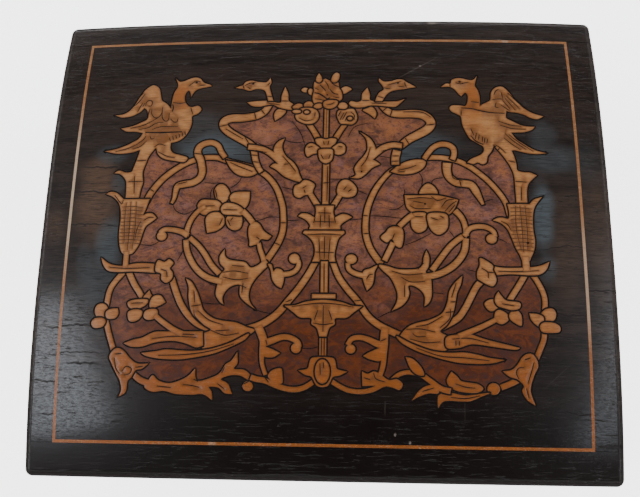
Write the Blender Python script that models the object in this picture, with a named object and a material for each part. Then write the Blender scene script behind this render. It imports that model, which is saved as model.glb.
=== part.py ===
"""An inlaid trinket box with a cushion lid that lifts off.

Metres, +Z up, +X to the right and +Y to the back. The origin is the middle of the underside.
The case is five boards. The lid is one hollow block with a crowned top, veneered in dark wood, with a light
line round it and an inlaid picture: light fruitwood scrolls, birds and serpents on a ground of burl.
Outlines of the picture are in millimetres on the lid's plan, with the crown's middle at 0, 0.
"""

import math

import bmesh
import bpy
from mathutils import Matrix, Vector

MM = 0.001

# The whole box
LENGTH = 0.250
WIDTH = 0.211
HEIGHT = 0.110
GAP = 0.0003
CORNER_RADIUS = 0.003

# The case
WALL = 0.008
BOTTOM = 0.006
CASE_TOP = 0.084

# The lid: how far the crown falls from its middle to each edge, and the power of its curve
FALL_X = 0.0049
FALL_Y = 0.0097
CROWN_POWER = 2.5
CROWN_CELLS = (3, 4)
LID_BOARD = 0.007
LIP_HEIGHT = 0.004
LIP_WALL = 0.006
LIP_PLAY = 0.0005

# The veneers, from the crown down
FIELD_DEPTH = 0.0021
BURL_DEPTH = 0.0013
INLAY_DEPTH = 0.0006
ABOVE = 0.004

# The light line: its width, and how far its middle lies from each edge
STRINGING = 0.0015
INSET_SIDE = 0.0130
INSET_FRONT = 0.0145
INSET_BACK = 0.0125

# The picture's own axis of symmetry, a little right of the lid's middle, in mm
AXIS = 1.0
LEFT = -1
RIGHT = 1

# A corner whose two sides nearly fold back on each other, and how far a grown corner may run out
SHARP = 0.25
MITRE = 1.8

HALF_X = LENGTH / 2
HALF_Y = WIDTH / 2

DARK = ("dark_veneer", (0.020, 0.011, 0.009), 0.30)
FRUIT = ("fruitwood", (0.42, 0.19, 0.065), 0.38)
BURL = ("burl", (0.16, 0.055, 0.032), 0.34)
CARCASS = ("carcass", (0.075, 0.034, 0.020), 0.50)


def crown(x, y):
    """Height of the lid's top over a point of its plan."""
    fall_x = FALL_X * abs(x / HALF_X) ** CROWN_POWER
    fall_y = FALL_Y * abs(y / HALF_Y) ** CROWN_POWER
    return HEIGHT - fall_x - fall_y


def clear_scene():
    """Removes what the scene holds."""
    for thing in list(bpy.data.objects):
        bpy.data.objects.remove(thing, do_unlink=True)


def make_collection(name):
    """A new collection in the scene."""
    made = bpy.data.collections.new(name)
    bpy.context.scene.collection.children.link(made)
    return made


clear_scene()
BOX = make_collection("inlaid_trinket_box")
CUTTERS = make_collection("cutters")
POCKETS = bpy.data.collections.new("pockets")
CUTTERS.children.link(POCKETS)


def finish(wood):
    """The material of a wood, made once."""
    name, colour, roughness = wood
    if name in bpy.data.materials:
        return bpy.data.materials[name]
    made = bpy.data.materials.new(name)
    made.use_nodes = True
    shader = made.node_tree.nodes["Principled BSDF"]
    shader.inputs["Base Color"].default_value = (*colour, 1.0)
    shader.inputs["Roughness"].default_value = roughness
    shader.inputs["Metallic"].default_value = 0.0
    return made


def place(name, mesh, wood=None, collection=None):
    """Turns a bmesh into an object: a piece of the box in its wood, or a cutter."""
    data = bpy.data.meshes.new(name)
    bmesh.ops.recalc_face_normals(mesh, faces=mesh.faces)
    mesh.to_mesh(data)
    mesh.free()
    thing = bpy.data.objects.new(name, data)
    if wood is None:
        (collection or CUTTERS).objects.link(thing)
        thing.hide_render = True
        thing.display_type = "WIRE"
    else:
        BOX.objects.link(thing)
        data.materials.append(finish(wood))
    return thing


def cut(thing, operation, cutter, self_crossing=False):
    """Adds a Boolean whose other operand is an object or a collection."""
    boolean = thing.modifiers.new(operation.lower(), "BOOLEAN")
    boolean.operation = operation
    boolean.solver = "EXACT"
    boolean.use_self = self_crossing
    if isinstance(cutter, bpy.types.Collection):
        boolean.operand_type = "COLLECTION"
        boolean.collection = cutter
    else:
        boolean.object = cutter


def block(name, low, high, wood=None):
    """A rectangular board between two corners."""
    mesh = bmesh.new()
    size = Vector(high) - Vector(low)
    middle = (Vector(high) + Vector(low)) / 2
    bmesh.ops.create_cube(mesh, size=1.0, matrix=Matrix.Translation(middle) @ Matrix.Diagonal((*size, 1.0)))
    return place(name, mesh, wood)


def eased(share, half):
    """Moves an even grid line so that the crown turns by the same amount in each cell. Past the edge it is even."""
    if abs(share) > 1.0:
        return share * half
    return math.copysign(abs(share) ** (1 / (CROWN_POWER - 1)), share) * half


def crowned(name, half_x, half_y, rise, low, wood=None, cells=CROWN_CELLS):
    """A block whose top is the crown raised by rise. Its underside is flat at low, or low(x, y) gives it.

    The plan is half_x by half_y each way from the middle. One of None is a plan one cell past the lid's edges.
    """
    past = 1 if half_x is None else 0
    reach_x = 1 + past / cells[0]
    reach_y = 1 + past / cells[1]
    mesh = bmesh.new()
    bmesh.ops.create_grid(mesh, x_segments=2 * (cells[0] + past), y_segments=2 * (cells[1] + past), size=1.0)
    for vert in mesh.verts:
        x = eased(vert.co.x * reach_x, half_x or HALF_X)
        y = eased(vert.co.y * reach_y, half_y or HALF_Y)
        vert.co = (x, y, crown(x, y) + rise)
    grown = bmesh.ops.extrude_face_region(mesh, geom=mesh.faces[:])
    for vert in grown["geom"]:
        if isinstance(vert, bmesh.types.BMVert):
            vert.co.z = low(vert.co.x, vert.co.y) if callable(low) else low
    return place(name, mesh, wood)


def layer(name, depth):
    """The skin of the lid down to a depth below the crown, used to trim the veneers."""
    return crowned(name, None, None, 0.0, lambda x, y: crown(x, y) - depth)


def room_above(name, depth):
    """The space above a depth below the crown, used to give a pocket its floor."""
    return crowned(name, None, None, ABOVE, lambda x, y: crown(x, y) - depth)


def vine(path, widths):
    """Outline of a stem along a path, with widths spread evenly along it, 0 for a point."""
    middle = [Vector(point) for point in path]
    last = len(middle) - 1
    left = []
    right = []
    for index, point in enumerate(middle):
        along = (middle[min(index + 1, last)] - middle[max(index - 1, 0)]).normalized()
        across = Vector((-along.y, along.x))
        place_in = index / last * (len(widths) - 1)
        below = min(int(place_in), len(widths) - 2)
        share = place_in - below
        half = (widths[below] * (1 - share) + widths[below + 1] * share) / 2
        left.append(point + across * half)
        if half > 0.05:
            right.append(point - across * half)
    return left + right[::-1]


def rosette(centre, radius, notch, petals=5, turn=90.0, steps=2):
    """Outline of an open flower: a radius that swells once for each petal and falls by notch between them."""
    points = []
    count = petals * steps
    for index in range(count):
        angle = 2 * math.pi * index / count
        swell = radius - notch * (0.5 - 0.5 * math.cos(angle * petals)) ** 2
        bearing = angle + math.radians(turn)
        points.append(Vector((centre[0] + swell * math.cos(bearing), centre[1] + swell * math.sin(bearing))))
    return points


def leaf(*points):
    """Outline of a leaf or a figure through its own corners."""
    return [Vector(point) for point in points]


def mirrored(outline, shift):
    """An outline turned over about the picture's axis and moved by a small hand-made difference."""
    return [Vector((2 * AXIS - point.x + shift[0], point.y + shift[1])) for point in outline]


def spread(outline, by):
    """An outline grown by a distance, with the corners moved along the mean of their sides' normals."""
    area = sum(outline[i - 1].cross(outline[i]) for i in range(len(outline)))
    turn = math.copysign(1.0, area)
    grown = []
    for index, point in enumerate(outline):
        before = (point - outline[index - 1]).normalized()
        after = (outline[(index + 1) % len(outline)] - point).normalized()
        normal = Vector((before.y + after.y, -before.x - after.x)) * turn
        reach = 2.0 / max(normal.length, 1e-6)
        if normal.length < SHARP:
            normal = (before - after) * math.copysign(1.0, before.cross(after) * turn)
        grown.append(point + normal.normalized() * by * min(reach, MITRE))
    return grown


def outline_mesh(outlines):
    """Upright prisms through the lid, one for each outline: flat curves filled and extruded, in one mesh."""
    joined = bmesh.new()
    low = HEIGHT - FALL_X - FALL_Y - ABOVE
    for order, outline in enumerate(outlines):
        curve = bpy.data.curves.new("outline", "CURVE")
        curve.dimensions = "2D"
        curve.fill_mode = "BOTH"
        half_depth = (HEIGHT + ABOVE * (1 + 0.1 * order) - low) / 2
        curve.extrude = half_depth
        spline = curve.splines.new("POLY")
        spline.points.add(len(outline) - 1)
        for point, where in zip(spline.points, outline):
            point.co = (where.x * MM, where.y * MM, 0.0, 1.0)
        spline.use_cyclic_u = True
        guide = bpy.data.objects.new("outline", curve)
        CUTTERS.objects.link(guide)
        filled = bpy.data.meshes.new_from_object(guide.evaluated_get(bpy.context.evaluated_depsgraph_get()))
        filled.transform(Matrix.Translation((0.0, 0.0, low - 0.0001 * order + half_depth)))
        joined.from_mesh(filled)
        bpy.data.meshes.remove(filled)
        bpy.data.objects.remove(guide)
        bpy.data.curves.remove(curve)
    bmesh.ops.remove_doubles(joined, verts=joined.verts, dist=0.000001)
    return joined


def inlay(name, outlines, clear_of=()):
    """A fruitwood piece let into the lid, and the pocket that it lies in."""
    piece = place(name, outline_mesh(outlines), FRUIT)
    cut(piece, "INTERSECT", INLAY_LAYER, self_crossing=True)
    for other in clear_of:
        cut(piece, "DIFFERENCE", bpy.data.objects["pocket_" + other], self_crossing=False)
    grown = outline_mesh([spread(outline, GAP / MM) for outline in outlines])
    pocket = place("pocket_" + name, grown, collection=POCKETS)
    cut(pocket, "INTERSECT", POCKET_LAYER, self_crossing=True)


# Outlines of the left half, in mm

BIRD = leaf(
    (-52.2, 68.7), (-58.4, 66.6), (-61.0, 63.2), (-63.4, 65.4), (-62.6, 58.4), (-57.4, 58.4), (-55.8, 56.0),
    (-60.0, 53.0), (-60.4, 47.0), (-68.6, 39.4), (-68.0, 35.6), (-61.2, 32.4), (-70.2, 31.8), (-75.0, 36.6),
    (-77.4, 34.4), (-82.4, 34.4), (-98.4, 36.2), (-83.2, 44.6), (-92.2, 47.0), (-80.6, 52.6), (-82.0, 57.2),
    (-95.4, 54.0), (-84.2, 65.0), (-79.4, 69.6), (-76.2, 67.4), (-74.6, 61.4), (-69.8, 57.4), (-68.8, 72.6),
    (-59.8, 73.4), (-55.4, 70.4),
)

STEM = leaf(
    (-82.4, 34.0), (-77.4, 34.0), (-80.4, 25.0), (-81.4, 12.5), (-87.2, 12.5), (-88.0, 23.0), (-93.4, 25.4),
    (-85.4, 25.2), (-84.6, 28.0),
)

CALYX = leaf(
    (-76.4, 13.0), (-78.6, 6.4), (-72.8, 4.6), (-77.6, 0.0), (-79.6, -7.0), (-83.6, -12.4), (-83.8, -16.2),
    (-85.8, -16.2), (-88.6, -4.0), (-89.4, 10.0), (-95.2, 16.0), (-87.8, 13.0),
)

SERPENT = [
    leaf(
        (-40.4, 67.6), (-36.4, 69.6), (-33.0, 71.2), (-29.5, 70.3), (-24.8, 72.2), (-25.6, 66.6), (-31.0, 66.6),
        (-36.0, 66.4),
    ),
    vine([(-26.8, 68.0), (-23.8, 59.4)], (2.8, 2.6)),
    vine([(-34.6, 59.4), (-24.0, 58.9), (-13.4, 56.6)], (0, 3.2, 2.6)),
    vine([(-18.0, 57.6), (-17.6, 67.4)], (4.0, 0)),
    vine([(-18.4, 57.6), (-21.6, 50.4)], (4.0, 0)),
    vine(
        [(-23.4, 58.6), (-28.0, 54.0), (-36.0, 52.2), (-43.4, 51.4), (-43.4, 47.2), (-32.6, 39.0), (-29.8, 29.0)],
        (3.0, 3.6, 3.8, 3.4),
    ),
    vine([(-31.2, 36.8), (-22.0, 32.6), (-10.0, 21.4)], (2.8, 6.4, 4.0)),
]

SCROLL = [
    vine(
        [(-78.2, 12.0), (-69.0, 24.0), (-55.0, 31.6), (-39.0, 30.4), (-24.0, 23.4), (-16.8, 10.0), (-17.0, -3.0),
         (-24.5, -15.4), (-31.5, -20.8)],
        (3.0, 2.8, 2.9, 3.2),
    ),
    leaf((-42.0, 30.8), (-38.6, 24.8), (-30.0, 24.6), (-29.6, 27.4)),
    vine(
        [(-46.0, 32.0), (-47.4, 38.2), (-54.4, 38.6), (-54.2, 26.0), (-57.4, 20.8), (-63.8, 18.4), (-65.6, 11.6)],
        (2.6, 3.2, 3.6, 0),
    ),
    leaf(
        (-25.8, -14.6), (-28.4, -8.0), (-31.2, -7.8), (-30.8, 0.2), (-27.6, 1.6), (-21.4, -4.4), (-26.0, -6.6),
        (-23.4, -13.2),
    ),
    vine([(-24.6, -15.4), (-18.0, -20.6), (-10.0, -17.4)], (2.6, 5.4, 3.0)),
    leaf(
        (-29.0, -17.6), (-39.8, -13.8), (-41.6, -10.2), (-43.2, -18.4), (-45.6, -22.0), (-44.2, -30.0), (-41.2, -33.6),
        (-39.6, -26.6), (-34.4, -27.0), (-27.4, -35.8), (-29.8, -27.2), (-26.0, -20.6),
    ),
    vine([(-43.0, -20.2), (-50.6, -13.4), (-58.6, -3.2)], (3.0, 2.6)),
    vine([(-43.0, -23.6), (-54.4, -18.0), (-59.4, -4.4)], (2.8, 2.6)),
    vine([(-54.0, 7.4), (-59.0, -4.6)], (2.4, 3.4)),
    vine([(-58.6, -2.6), (-70.2, -1.4)], (2.8, 3.4)),
]

LOWER_SCROLL = [
    vine([(-3.4, -17.4), (-12.6, -32.0), (-24.0, -42.2), (-38.0, -46.0)], (3.0, 3.0, 5.0)),
    leaf(
        (-29.5, -42.6), (-42.0, -40.6), (-49.0, -36.0), (-54.2, -24.6), (-57.8, -22.8), (-54.6, -37.0), (-46.6, -44.0),
        (-52.0, -45.4), (-69.0, -45.6), (-82.8, -50.2), (-67.0, -50.2), (-48.0, -51.6), (-62.0, -53.0),
        (-75.4, -54.4), (-63.0, -57.0), (-45.0, -54.0), (-29.5, -46.2),
    ),
    vine([(-46.0, -43.4), (-57.8, -37.0), (-65.8, -21.4)], (3.2, 3.2)),
    leaf(
        (-65.0, -14.6), (-72.0, -16.4), (-88.0, -16.8), (-94.6, -13.6), (-92.0, -19.0), (-72.0, -19.6), (-69.6, -25.2),
        (-63.4, -21.6),
    ),
    vine([(-85.6, -18.6), (-90.4, -26.0), (-91.9, -34.0)], (2.4, 2.6)),
    vine([(-84.6, -18.4), (-77.2, -29.8)], (3.0, 3.0)),
    vine([(-60.0, -46.6), (-70.6, -39.0)], (3.0, 2.4)),
]

BORDER_VINE = [
    vine([(-91.4, -41.8), (-90.0, -47.4), (-86.4, -54.2)], (2.4, 2.8)),
    leaf(
        (-87.6, -52.6), (-83.2, -53.6), (-77.6, -58.8), (-72.2, -59.0), (-79.6, -63.6), (-81.4, -70.2), (-83.8, -72.6),
        (-84.0, -65.0), (-89.0, -56.0),
    ),
    vine(
        [(-79.4, -62.4), (-70.0, -67.4), (-54.0, -68.6), (-41.0, -63.4), (-33.4, -62.4), (-26.0, -65.6),
         (-13.0, -68.8), (-3.6, -66.0)],
        (2.6, 5.6, 4.4, 2.4, 2.2, 2.2),
    ),
    leaf((-57.0, -67.0), (-52.2, -61.0), (-49.6, -67.4), (-44.5, -73.2), (-58.0, -71.2)),
    leaf((-42.4, -63.6), (-34.4, -54.2), (-35.0, -62.4)),
    leaf((-24.8, -66.0), (-19.4, -60.8), (-15.6, -60.2), (-15.4, -68.4)),
    vine([(-24.8, -45.0), (-23.8, -54.0), (-22.0, -63.8)], (3.4, 2.2, 2.8)),
    vine([(-24.2, -49.8), (-10.0, -48.6)], (3.2, 2.6)),
]


def both(left_outline):
    """A half outline that starts and ends near the picture's axis, with its other half."""
    return left_outline + mirrored(left_outline, (0.0, 0.0))[::-1]


CANDELABRUM = [
    both(leaf(
        (-0.4, -67.2), (-4.6, -63.4), (-8.2, -61.0), (-3.4, -56.0), (-0.4, -54.6), (-0.4, -45.4), (-3.4, -39.6),
        (-9.0, -38.6), (-14.4, -34.2), (-3.8, -30.8), (-0.4, -28.6), (-0.4, -15.2), (-3.4, -15.0), (-3.2, -8.0),
        (-7.8, -1.8), (-5.6, 1.4), (-9.8, 5.0), (-3.6, 5.4), (-4.6, 12.0), (-11.0, 15.6), (-8.6, 20.6), (-3.6, 18.4),
        (-0.4, 9.8), (-0.4, 29.0), (-7.0, 32.4), (-8.0, 36.2), (-5.0, 39.0), (-7.0, 48.0), (-13.0, 53.0),
        (-10.0, 59.4), (-4.2, 58.6), (-4.4, 49.8), (-0.4, 41.2), (-0.4, 56.4),
    )),
]

ROSE = [
    both(leaf(
        (-1.4, 56.8), (-4.6, 59.0), (-5.6, 62.6), (-10.2, 65.8), (-5.4, 67.2), (-2.8, 75.0), (-0.6, 72.2),
    )),
]

# Half of the burl's edge, from the top middle round the left to the bottom middle. It runs under the outer vines
BURL_EDGE = leaf(
    (-24.0, 57.0), (-30.5, 53.0), (-43.4, 51.4), (-43.4, 47.2), (-32.6, 39.0), (-29.8, 29.4), (-55.0, 31.4),
    (-62.6, 28.8), (-75.6, 37.2), (-80.0, 34.0), (-84.4, -13.6), (-91.6, -31.0), (-91.0, -43.0), (-86.0, -56.4),
    (-70.0, -67.4), (-54.0, -68.6), (-41.0, -63.4), (-33.4, -62.4), (-26.0, -65.6), (-13.0, -68.8), (-3.6, -66.0),
)

# How the right half of the picture differs from the mirrored left: each figure's shift, in mm
RIGHT_SHIFTS = {
    "bird": (-0.6, -1.0),
    "stem": (-0.4, -0.8),
    "serpent": (0.9, -0.4),
    "scroll": (0.6, -0.8),
    "flower": (0.6, -1.0),
    "lower_scroll": (0.4, -0.8),
    "inner_flower": (1.0, -1.0),
    "outer_flower": (0.2, -1.4),
    "border_vine": (0.8, -0.6),
}

# Each figure of a side: its outlines and the figures that it keeps clear of
SIDE_FIGURES = {
    "stem": ([STEM, CALYX], ()),
    "bird": ([BIRD], ("stem",)),
    "flower": ([rosette((-43.4, 7.6), 12.0, 6.4, steps=2)], ()),
    "inner_flower": ([rosette((-74.4, -34.6), 8.0, 3.6, steps=2)], ()),
    "outer_flower": ([rosette((-92.4, -38.4), 6.8, 3.0, petals=4, turn=45.0, steps=2)], ()),
    "scroll": (SCROLL, ("stem", "bird", "flower")),
    "serpent": (SERPENT, ("scroll",)),
    "lower_scroll": (LOWER_SCROLL, ("stem", "inner_flower", "outer_flower")),
    "border_vine": (BORDER_VINE, ("outer_flower", "lower_scroll")),
}


def build_case():
    """The floor board and the four walls, with the box's upright corners rounded."""
    wall_low = BOTTOM + GAP
    bottom = block("case_bottom", (-HALF_X, -HALF_Y, 0.0), (HALF_X, HALF_Y, BOTTOM), CARCASS)
    walls = [bottom]
    for name, low_y in (("case_front", -HALF_Y), ("case_back", HALF_Y - WALL)):
        walls.append(block(name, (-HALF_X, low_y, wall_low), (HALF_X, low_y + WALL, CASE_TOP), DARK))
    side_end = HALF_Y - WALL - GAP
    for name, low_x in (("case_left", -HALF_X), ("case_right", HALF_X - WALL)):
        block(name, (low_x, -side_end, wall_low), (low_x + WALL, side_end, CASE_TOP), DARK)
    for board in walls:
        round_uprights(board)


def round_uprights(thing):
    """Rounds the upright edges of a piece that lie on the box's outer corners."""
    mesh = bmesh.new()
    mesh.from_mesh(thing.data)
    outer = Vector((HALF_X, HALF_Y))
    corners = []
    for edge in mesh.edges:
        low, high = (vert.co.xy for vert in edge.verts)
        if (low - high).length < MM / 10 and (Vector((abs(low.x), abs(low.y))) - outer).length < MM / 10:
            corners.append(edge)
    bmesh.ops.bevel(
        mesh, geom=corners, offset=CORNER_RADIUS, segments=3, profile=0.5, affect="EDGES", clamp_overlap=True
    )
    mesh.to_mesh(thing.data)
    mesh.free()


def corner_cutter():
    """An upright block with the box's rounded corners, which trims what reaches the lid's edges."""
    trim = block("plan_trim", (-HALF_X, -HALF_Y, 0.0), (HALF_X, HALF_Y, HEIGHT + ABOVE))
    round_uprights(trim)
    return trim


def build_lid(trim):
    """The hollow lid under the veneers, with the lip that locates it in the case."""
    low = CASE_TOP + GAP
    under_veneer = -FIELD_DEPTH - GAP
    lid = crowned("lid", HALF_X, HALF_Y, under_veneer, low, DARK)
    cut(lid, "INTERSECT", trim)
    lip_x = HALF_X - WALL - LIP_PLAY
    lip_y = HALF_Y - WALL - LIP_PLAY
    lip = block("lip", (-lip_x, -lip_y, low - LIP_HEIGHT), (lip_x, lip_y, low + LIP_HEIGHT))
    cut(lid, "UNION", lip)
    hollow = crowned(
        "lid_hollow", lip_x - LIP_WALL, lip_y - LIP_WALL, under_veneer - LID_BOARD, low - 2 * LIP_HEIGHT, cells=(2, 3)
    )
    cut(lid, "DIFFERENCE", hollow)


def veneer_strip(name, low, high, wood, trim):
    """A strip of veneer over a rectangle of the plan, trimmed to the lid's rounded corners."""
    strip = crowned(name, HALF_X, HALF_Y, 0.0, lambda x, y: crown(x, y) - FIELD_DEPTH, wood)
    window = block(name + "_window", (*low, 0.0), (*high, HEIGHT + ABOVE))
    cut(strip, "INTERSECT", window)
    if trim is not None:
        cut(strip, "INTERSECT", trim)
    return strip


def build_borders(trim):
    """The light line's four strips and the four dark bands outside them."""
    half = STRINGING / 2
    left = -HALF_X + INSET_SIDE
    right = HALF_X - INSET_SIDE
    front = -HALF_Y + INSET_FRONT
    back = HALF_Y - INSET_BACK
    past = MM
    band_front = front - half - GAP
    band_back = back + half + GAP
    veneer_strip("stringing_front", (left - half, front - half), (right + half, front + half), FRUIT, None)
    veneer_strip("stringing_back", (left - half, back - half), (right + half, back + half), FRUIT, None)
    side_low = front + half + GAP
    side_high = back - half - GAP
    veneer_strip("stringing_left", (left - half, side_low), (left + half, side_high), FRUIT, None)
    veneer_strip("stringing_right", (right - half, side_low), (right + half, side_high), FRUIT, None)
    veneer_strip("border_front", (-HALF_X - past, -HALF_Y - past), (HALF_X + past, band_front), DARK, trim)
    veneer_strip("border_back", (-HALF_X - past, band_back), (HALF_X + past, HALF_Y + past), DARK, trim)
    band_low = band_front + GAP
    band_high = band_back - GAP
    veneer_strip("border_left", (-HALF_X - past, band_low), (left - half - GAP, band_high), DARK, None)
    veneer_strip("border_right", (right + half + GAP, band_low), (HALF_X + past, band_high), DARK, None)
    inner = half + GAP
    return veneer_strip("field_veneer", (left + inner, front + inner), (right - inner, back - inner), DARK, None)


def build_inlay(field):
    """The fruitwood figures, the burl ground and the pockets that they lie in."""
    inlay("inlay_candelabrum", CANDELABRUM)
    inlay("inlay_rose", ROSE, ("inlay_candelabrum",))
    for side, side_name in ((LEFT, "_left"), (RIGHT, "_right")):
        for figure, (outlines, neighbours) in SIDE_FIGURES.items():
            if side == RIGHT:
                outlines = [mirrored(outline, RIGHT_SHIFTS[figure]) for outline in outlines]
            clear_of = ["inlay_" + neighbour + side_name for neighbour in neighbours]
            if figure in ("serpent", "scroll", "lower_scroll", "border_vine"):
                clear_of.append("inlay_candelabrum")
            if figure == "serpent":
                clear_of.append("inlay_rose")
            inlay("inlay_" + figure + side_name, outlines, clear_of)
    edge = both(BURL_EDGE)
    burl = place("burl_ground", outline_mesh([edge]), BURL)
    cut(burl, "INTERSECT", layer("burl_layer", BURL_DEPTH))
    cut(burl, "DIFFERENCE", POCKETS)
    pocket = place("burl_pocket", outline_mesh([spread(edge, GAP / MM)]))
    cut(pocket, "INTERSECT", room_above("burl_pocket_layer", BURL_DEPTH + GAP))
    cut(field, "DIFFERENCE", pocket)
    cut(field, "DIFFERENCE", POCKETS)


INLAY_LAYER = layer("inlay_layer", INLAY_DEPTH)
POCKET_LAYER = room_above("pocket_layer", INLAY_DEPTH + GAP)

PLAN_TRIM = corner_cutter()
build_case()
build_lid(PLAN_TRIM)
build_inlay(build_borders(PLAN_TRIM))
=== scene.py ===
"""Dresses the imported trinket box: the marquetry and light line over its cushion lid, and the plain case below.

Sizes are millimetres, and the studio's are metres. A plan point is the complex number x + yj, from the middle of
the lid, with x to the right and y to the back.
"""
import logging
import math
from dataclasses import dataclass, field
from enum import Enum
from typing import Callable, Sequence, Union

import bpy
import numpy as np
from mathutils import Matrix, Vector
from mathutils.geometry import delaunay_2d_cdt


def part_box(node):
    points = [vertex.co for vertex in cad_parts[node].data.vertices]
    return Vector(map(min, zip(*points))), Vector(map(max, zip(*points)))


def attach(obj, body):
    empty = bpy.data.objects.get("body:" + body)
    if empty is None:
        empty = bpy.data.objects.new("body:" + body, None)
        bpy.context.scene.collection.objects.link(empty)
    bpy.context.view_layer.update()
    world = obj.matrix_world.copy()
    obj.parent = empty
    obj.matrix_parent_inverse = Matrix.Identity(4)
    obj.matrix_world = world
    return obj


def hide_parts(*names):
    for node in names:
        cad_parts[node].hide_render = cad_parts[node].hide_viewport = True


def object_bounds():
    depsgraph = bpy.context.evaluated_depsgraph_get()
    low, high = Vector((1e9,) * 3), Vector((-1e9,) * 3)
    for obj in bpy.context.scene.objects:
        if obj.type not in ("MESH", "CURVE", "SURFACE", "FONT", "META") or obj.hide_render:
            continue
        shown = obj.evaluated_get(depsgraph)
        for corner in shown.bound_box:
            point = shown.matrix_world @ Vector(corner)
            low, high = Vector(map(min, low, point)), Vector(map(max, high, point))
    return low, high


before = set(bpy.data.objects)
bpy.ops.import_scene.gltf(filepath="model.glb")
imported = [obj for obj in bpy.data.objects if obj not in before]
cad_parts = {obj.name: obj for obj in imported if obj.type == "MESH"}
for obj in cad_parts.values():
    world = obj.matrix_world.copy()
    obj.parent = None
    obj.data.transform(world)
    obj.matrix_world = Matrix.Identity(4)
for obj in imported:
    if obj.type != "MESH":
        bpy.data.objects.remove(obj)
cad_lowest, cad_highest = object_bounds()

LOG = logging.getLogger("trinket_box")
MM = 0.001  # metres in a millimetre
BODY = "root"
CORNER = 3.0  # the radius of the box's upright corners
STEP = 0.8  # the spacing of points along a cut line
KERF = 0.66  # the width of the dark saw line round each piece
HAIRLINE = 0.42  # the width of an engraved line
FINE_LINE = 0.24  # the width of the finest ones
DISC_POINTS = 20
CORNERS = ((1, 0, -90), (1, 1, 0), (0, 1, 90), (0, 0, 180))  # right or left, back or front, where its arc starts


def rows_of(points: Sequence[complex]) -> np.ndarray:
    """The plan points as rows of x and y."""
    return np.array([(point.real, point.imag) for point in points])


def unit(rows: np.ndarray, least: float = 1e-9) -> np.ndarray:
    """Each row over its length, to which a least amount is added so that it is never 0."""
    return rows / (np.linalg.norm(rows, axis=1)[:, None] + least)


def divided(ends: np.ndarray, starts: np.ndarray, step: float) -> tuple[np.ndarray, np.ndarray]:
    """Divides spans into equal parts no longer than a step.

    Args:
        ends: the spans' ends, one row each.
        starts: the spans' starts.
        step: the longest part.

    Returns:
        For each part the number of its span, and its start's share of the way along it, as a column.
    """
    counts = np.maximum(1, np.ceil(np.linalg.norm(ends - starts, axis=1) / step)).astype(int)
    span = np.repeat(np.arange(len(starts)), counts)
    share = (np.arange(counts.sum()) - np.repeat(np.cumsum(counts) - counts, counts)) / counts[span]
    return span, share[:, None]


def smooth(points: np.ndarray, closed: bool = False) -> np.ndarray:
    """Draws the Catmull-Rom curve through the points.

    Each span is the cubic whose ends are its two points and whose end slopes are half the chord of the
    points on either side.

    Args:
        points: the points to pass through, one row each.
        closed: True if the last point joins the first.

    Returns:
        The drawn points, one row each, without a repeated first point.
    """
    ends = (points[-1:], points[:2]) if closed else (2 * points[:1] - points[1:2], 2 * points[-1:] - points[-2:-1])
    whole = np.vstack([ends[0], points, ends[1]])
    span, t = divided(whole[2:-1], whole[1:-2], STEP)
    a, b, c, d = (whole[i:len(whole) - 3 + i][span] for i in range(4))
    drawn = 0.5 * (2 * b + (c - a) * t + (2 * a - 5 * b + 4 * c - d) * t**2 + (3 * b - a - 3 * c + d) * t**3)
    return drawn if closed else np.vstack([drawn, points[-1:]])


class Tip(complex):
    """A point of an outline where the line turns sharply."""


@dataclass(frozen=True)
class Leaf:
    """A closed outline of a leaf, petal or body, sharp at its tips and smooth between them."""

    points: Sequence[complex]

    def loop(self) -> np.ndarray:
        """Draws the outline as one smooth run from each tip to the next.

        Returns:
            The closed outline's points, one row each.
        """
        xy = rows_of(self.points)
        sharp = [i for i, point in enumerate(self.points) if isinstance(point, Tip)]
        if not sharp:
            return smooth(xy, closed=True)
        runs = zip(sharp, sharp[1:] + [sharp[0] + len(xy)])
        return np.vstack([smooth(xy[np.arange(start, end + 1) % len(xy)])[:-1] for start, end in runs])


@dataclass(frozen=True)
class Vine:
    """A band of the given widths, spread evenly along its centre line."""

    points: Sequence[complex]
    widths: Sequence[float]

    def loop(self) -> np.ndarray:
        """Draws the outline: the centre line moved half a width to each side along its normals.

        Returns:
            The closed outline's points, one row each.
        """
        middle = smooth(rows_of(self.points))
        along = unit(np.gradient(middle, axis=0))
        gone = np.concatenate([[0], np.cumsum(np.linalg.norm(np.diff(middle, axis=0), axis=1))])
        half = np.interp(gone / gone[-1], np.linspace(0, 1, len(self.widths)), self.widths) / 2
        side = np.column_stack([-along[:, 1], along[:, 0]]) * half[:, None]
        return np.vstack([middle + side, (middle - side)[::-1]])


@dataclass(frozen=True)
class Disc:
    """A round or oval piece."""

    x: float
    y: float
    radius_x: float
    radius_y: float

    def loop(self) -> np.ndarray:
        """The points of the ellipse at equal angles."""
        turn = np.linspace(0, 2 * math.pi, DISC_POINTS, endpoint=False)
        return np.column_stack([self.x + self.radius_x * np.cos(turn), self.y + self.radius_y * np.sin(turn)])


@dataclass(frozen=True)
class Figure:
    """One piece of fruitwood; a row of points in its cuts is a hairline.

    A joined one has no saw line against other fruitwood.
    """

    shapes: Sequence[Union[Leaf, Vine, Disc]]
    cuts: Sequence[Union[Vine, Disc, tuple[complex, ...]]] = ()
    tone: float = 0.0
    joined: bool = False

    def cut_loops(self) -> list[np.ndarray]:
        """The closed loops of its engraved lines."""
        return [(line(*cut) if isinstance(cut, tuple) else cut).loop() for cut in self.cuts]


Motif = tuple[str, list[Figure]]


def line(*points: complex, width: float = HAIRLINE) -> Vine:
    """An engraved line through the points, fine at both ends."""
    return Vine(points, (0.6 * width, width, 0.6 * width))


def rungs(left: float, right: float, heights: Sequence[float], lean: float = -0.3) -> list[Vine]:
    """Fine engraved lines from side to side at some heights, each leaning by a little."""
    middle = (left + right) / 2
    return [line(complex(left, y), complex(middle, y + 0.2), complex(right, y + lean), width=FINE_LINE)
            for y in heights]


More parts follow.
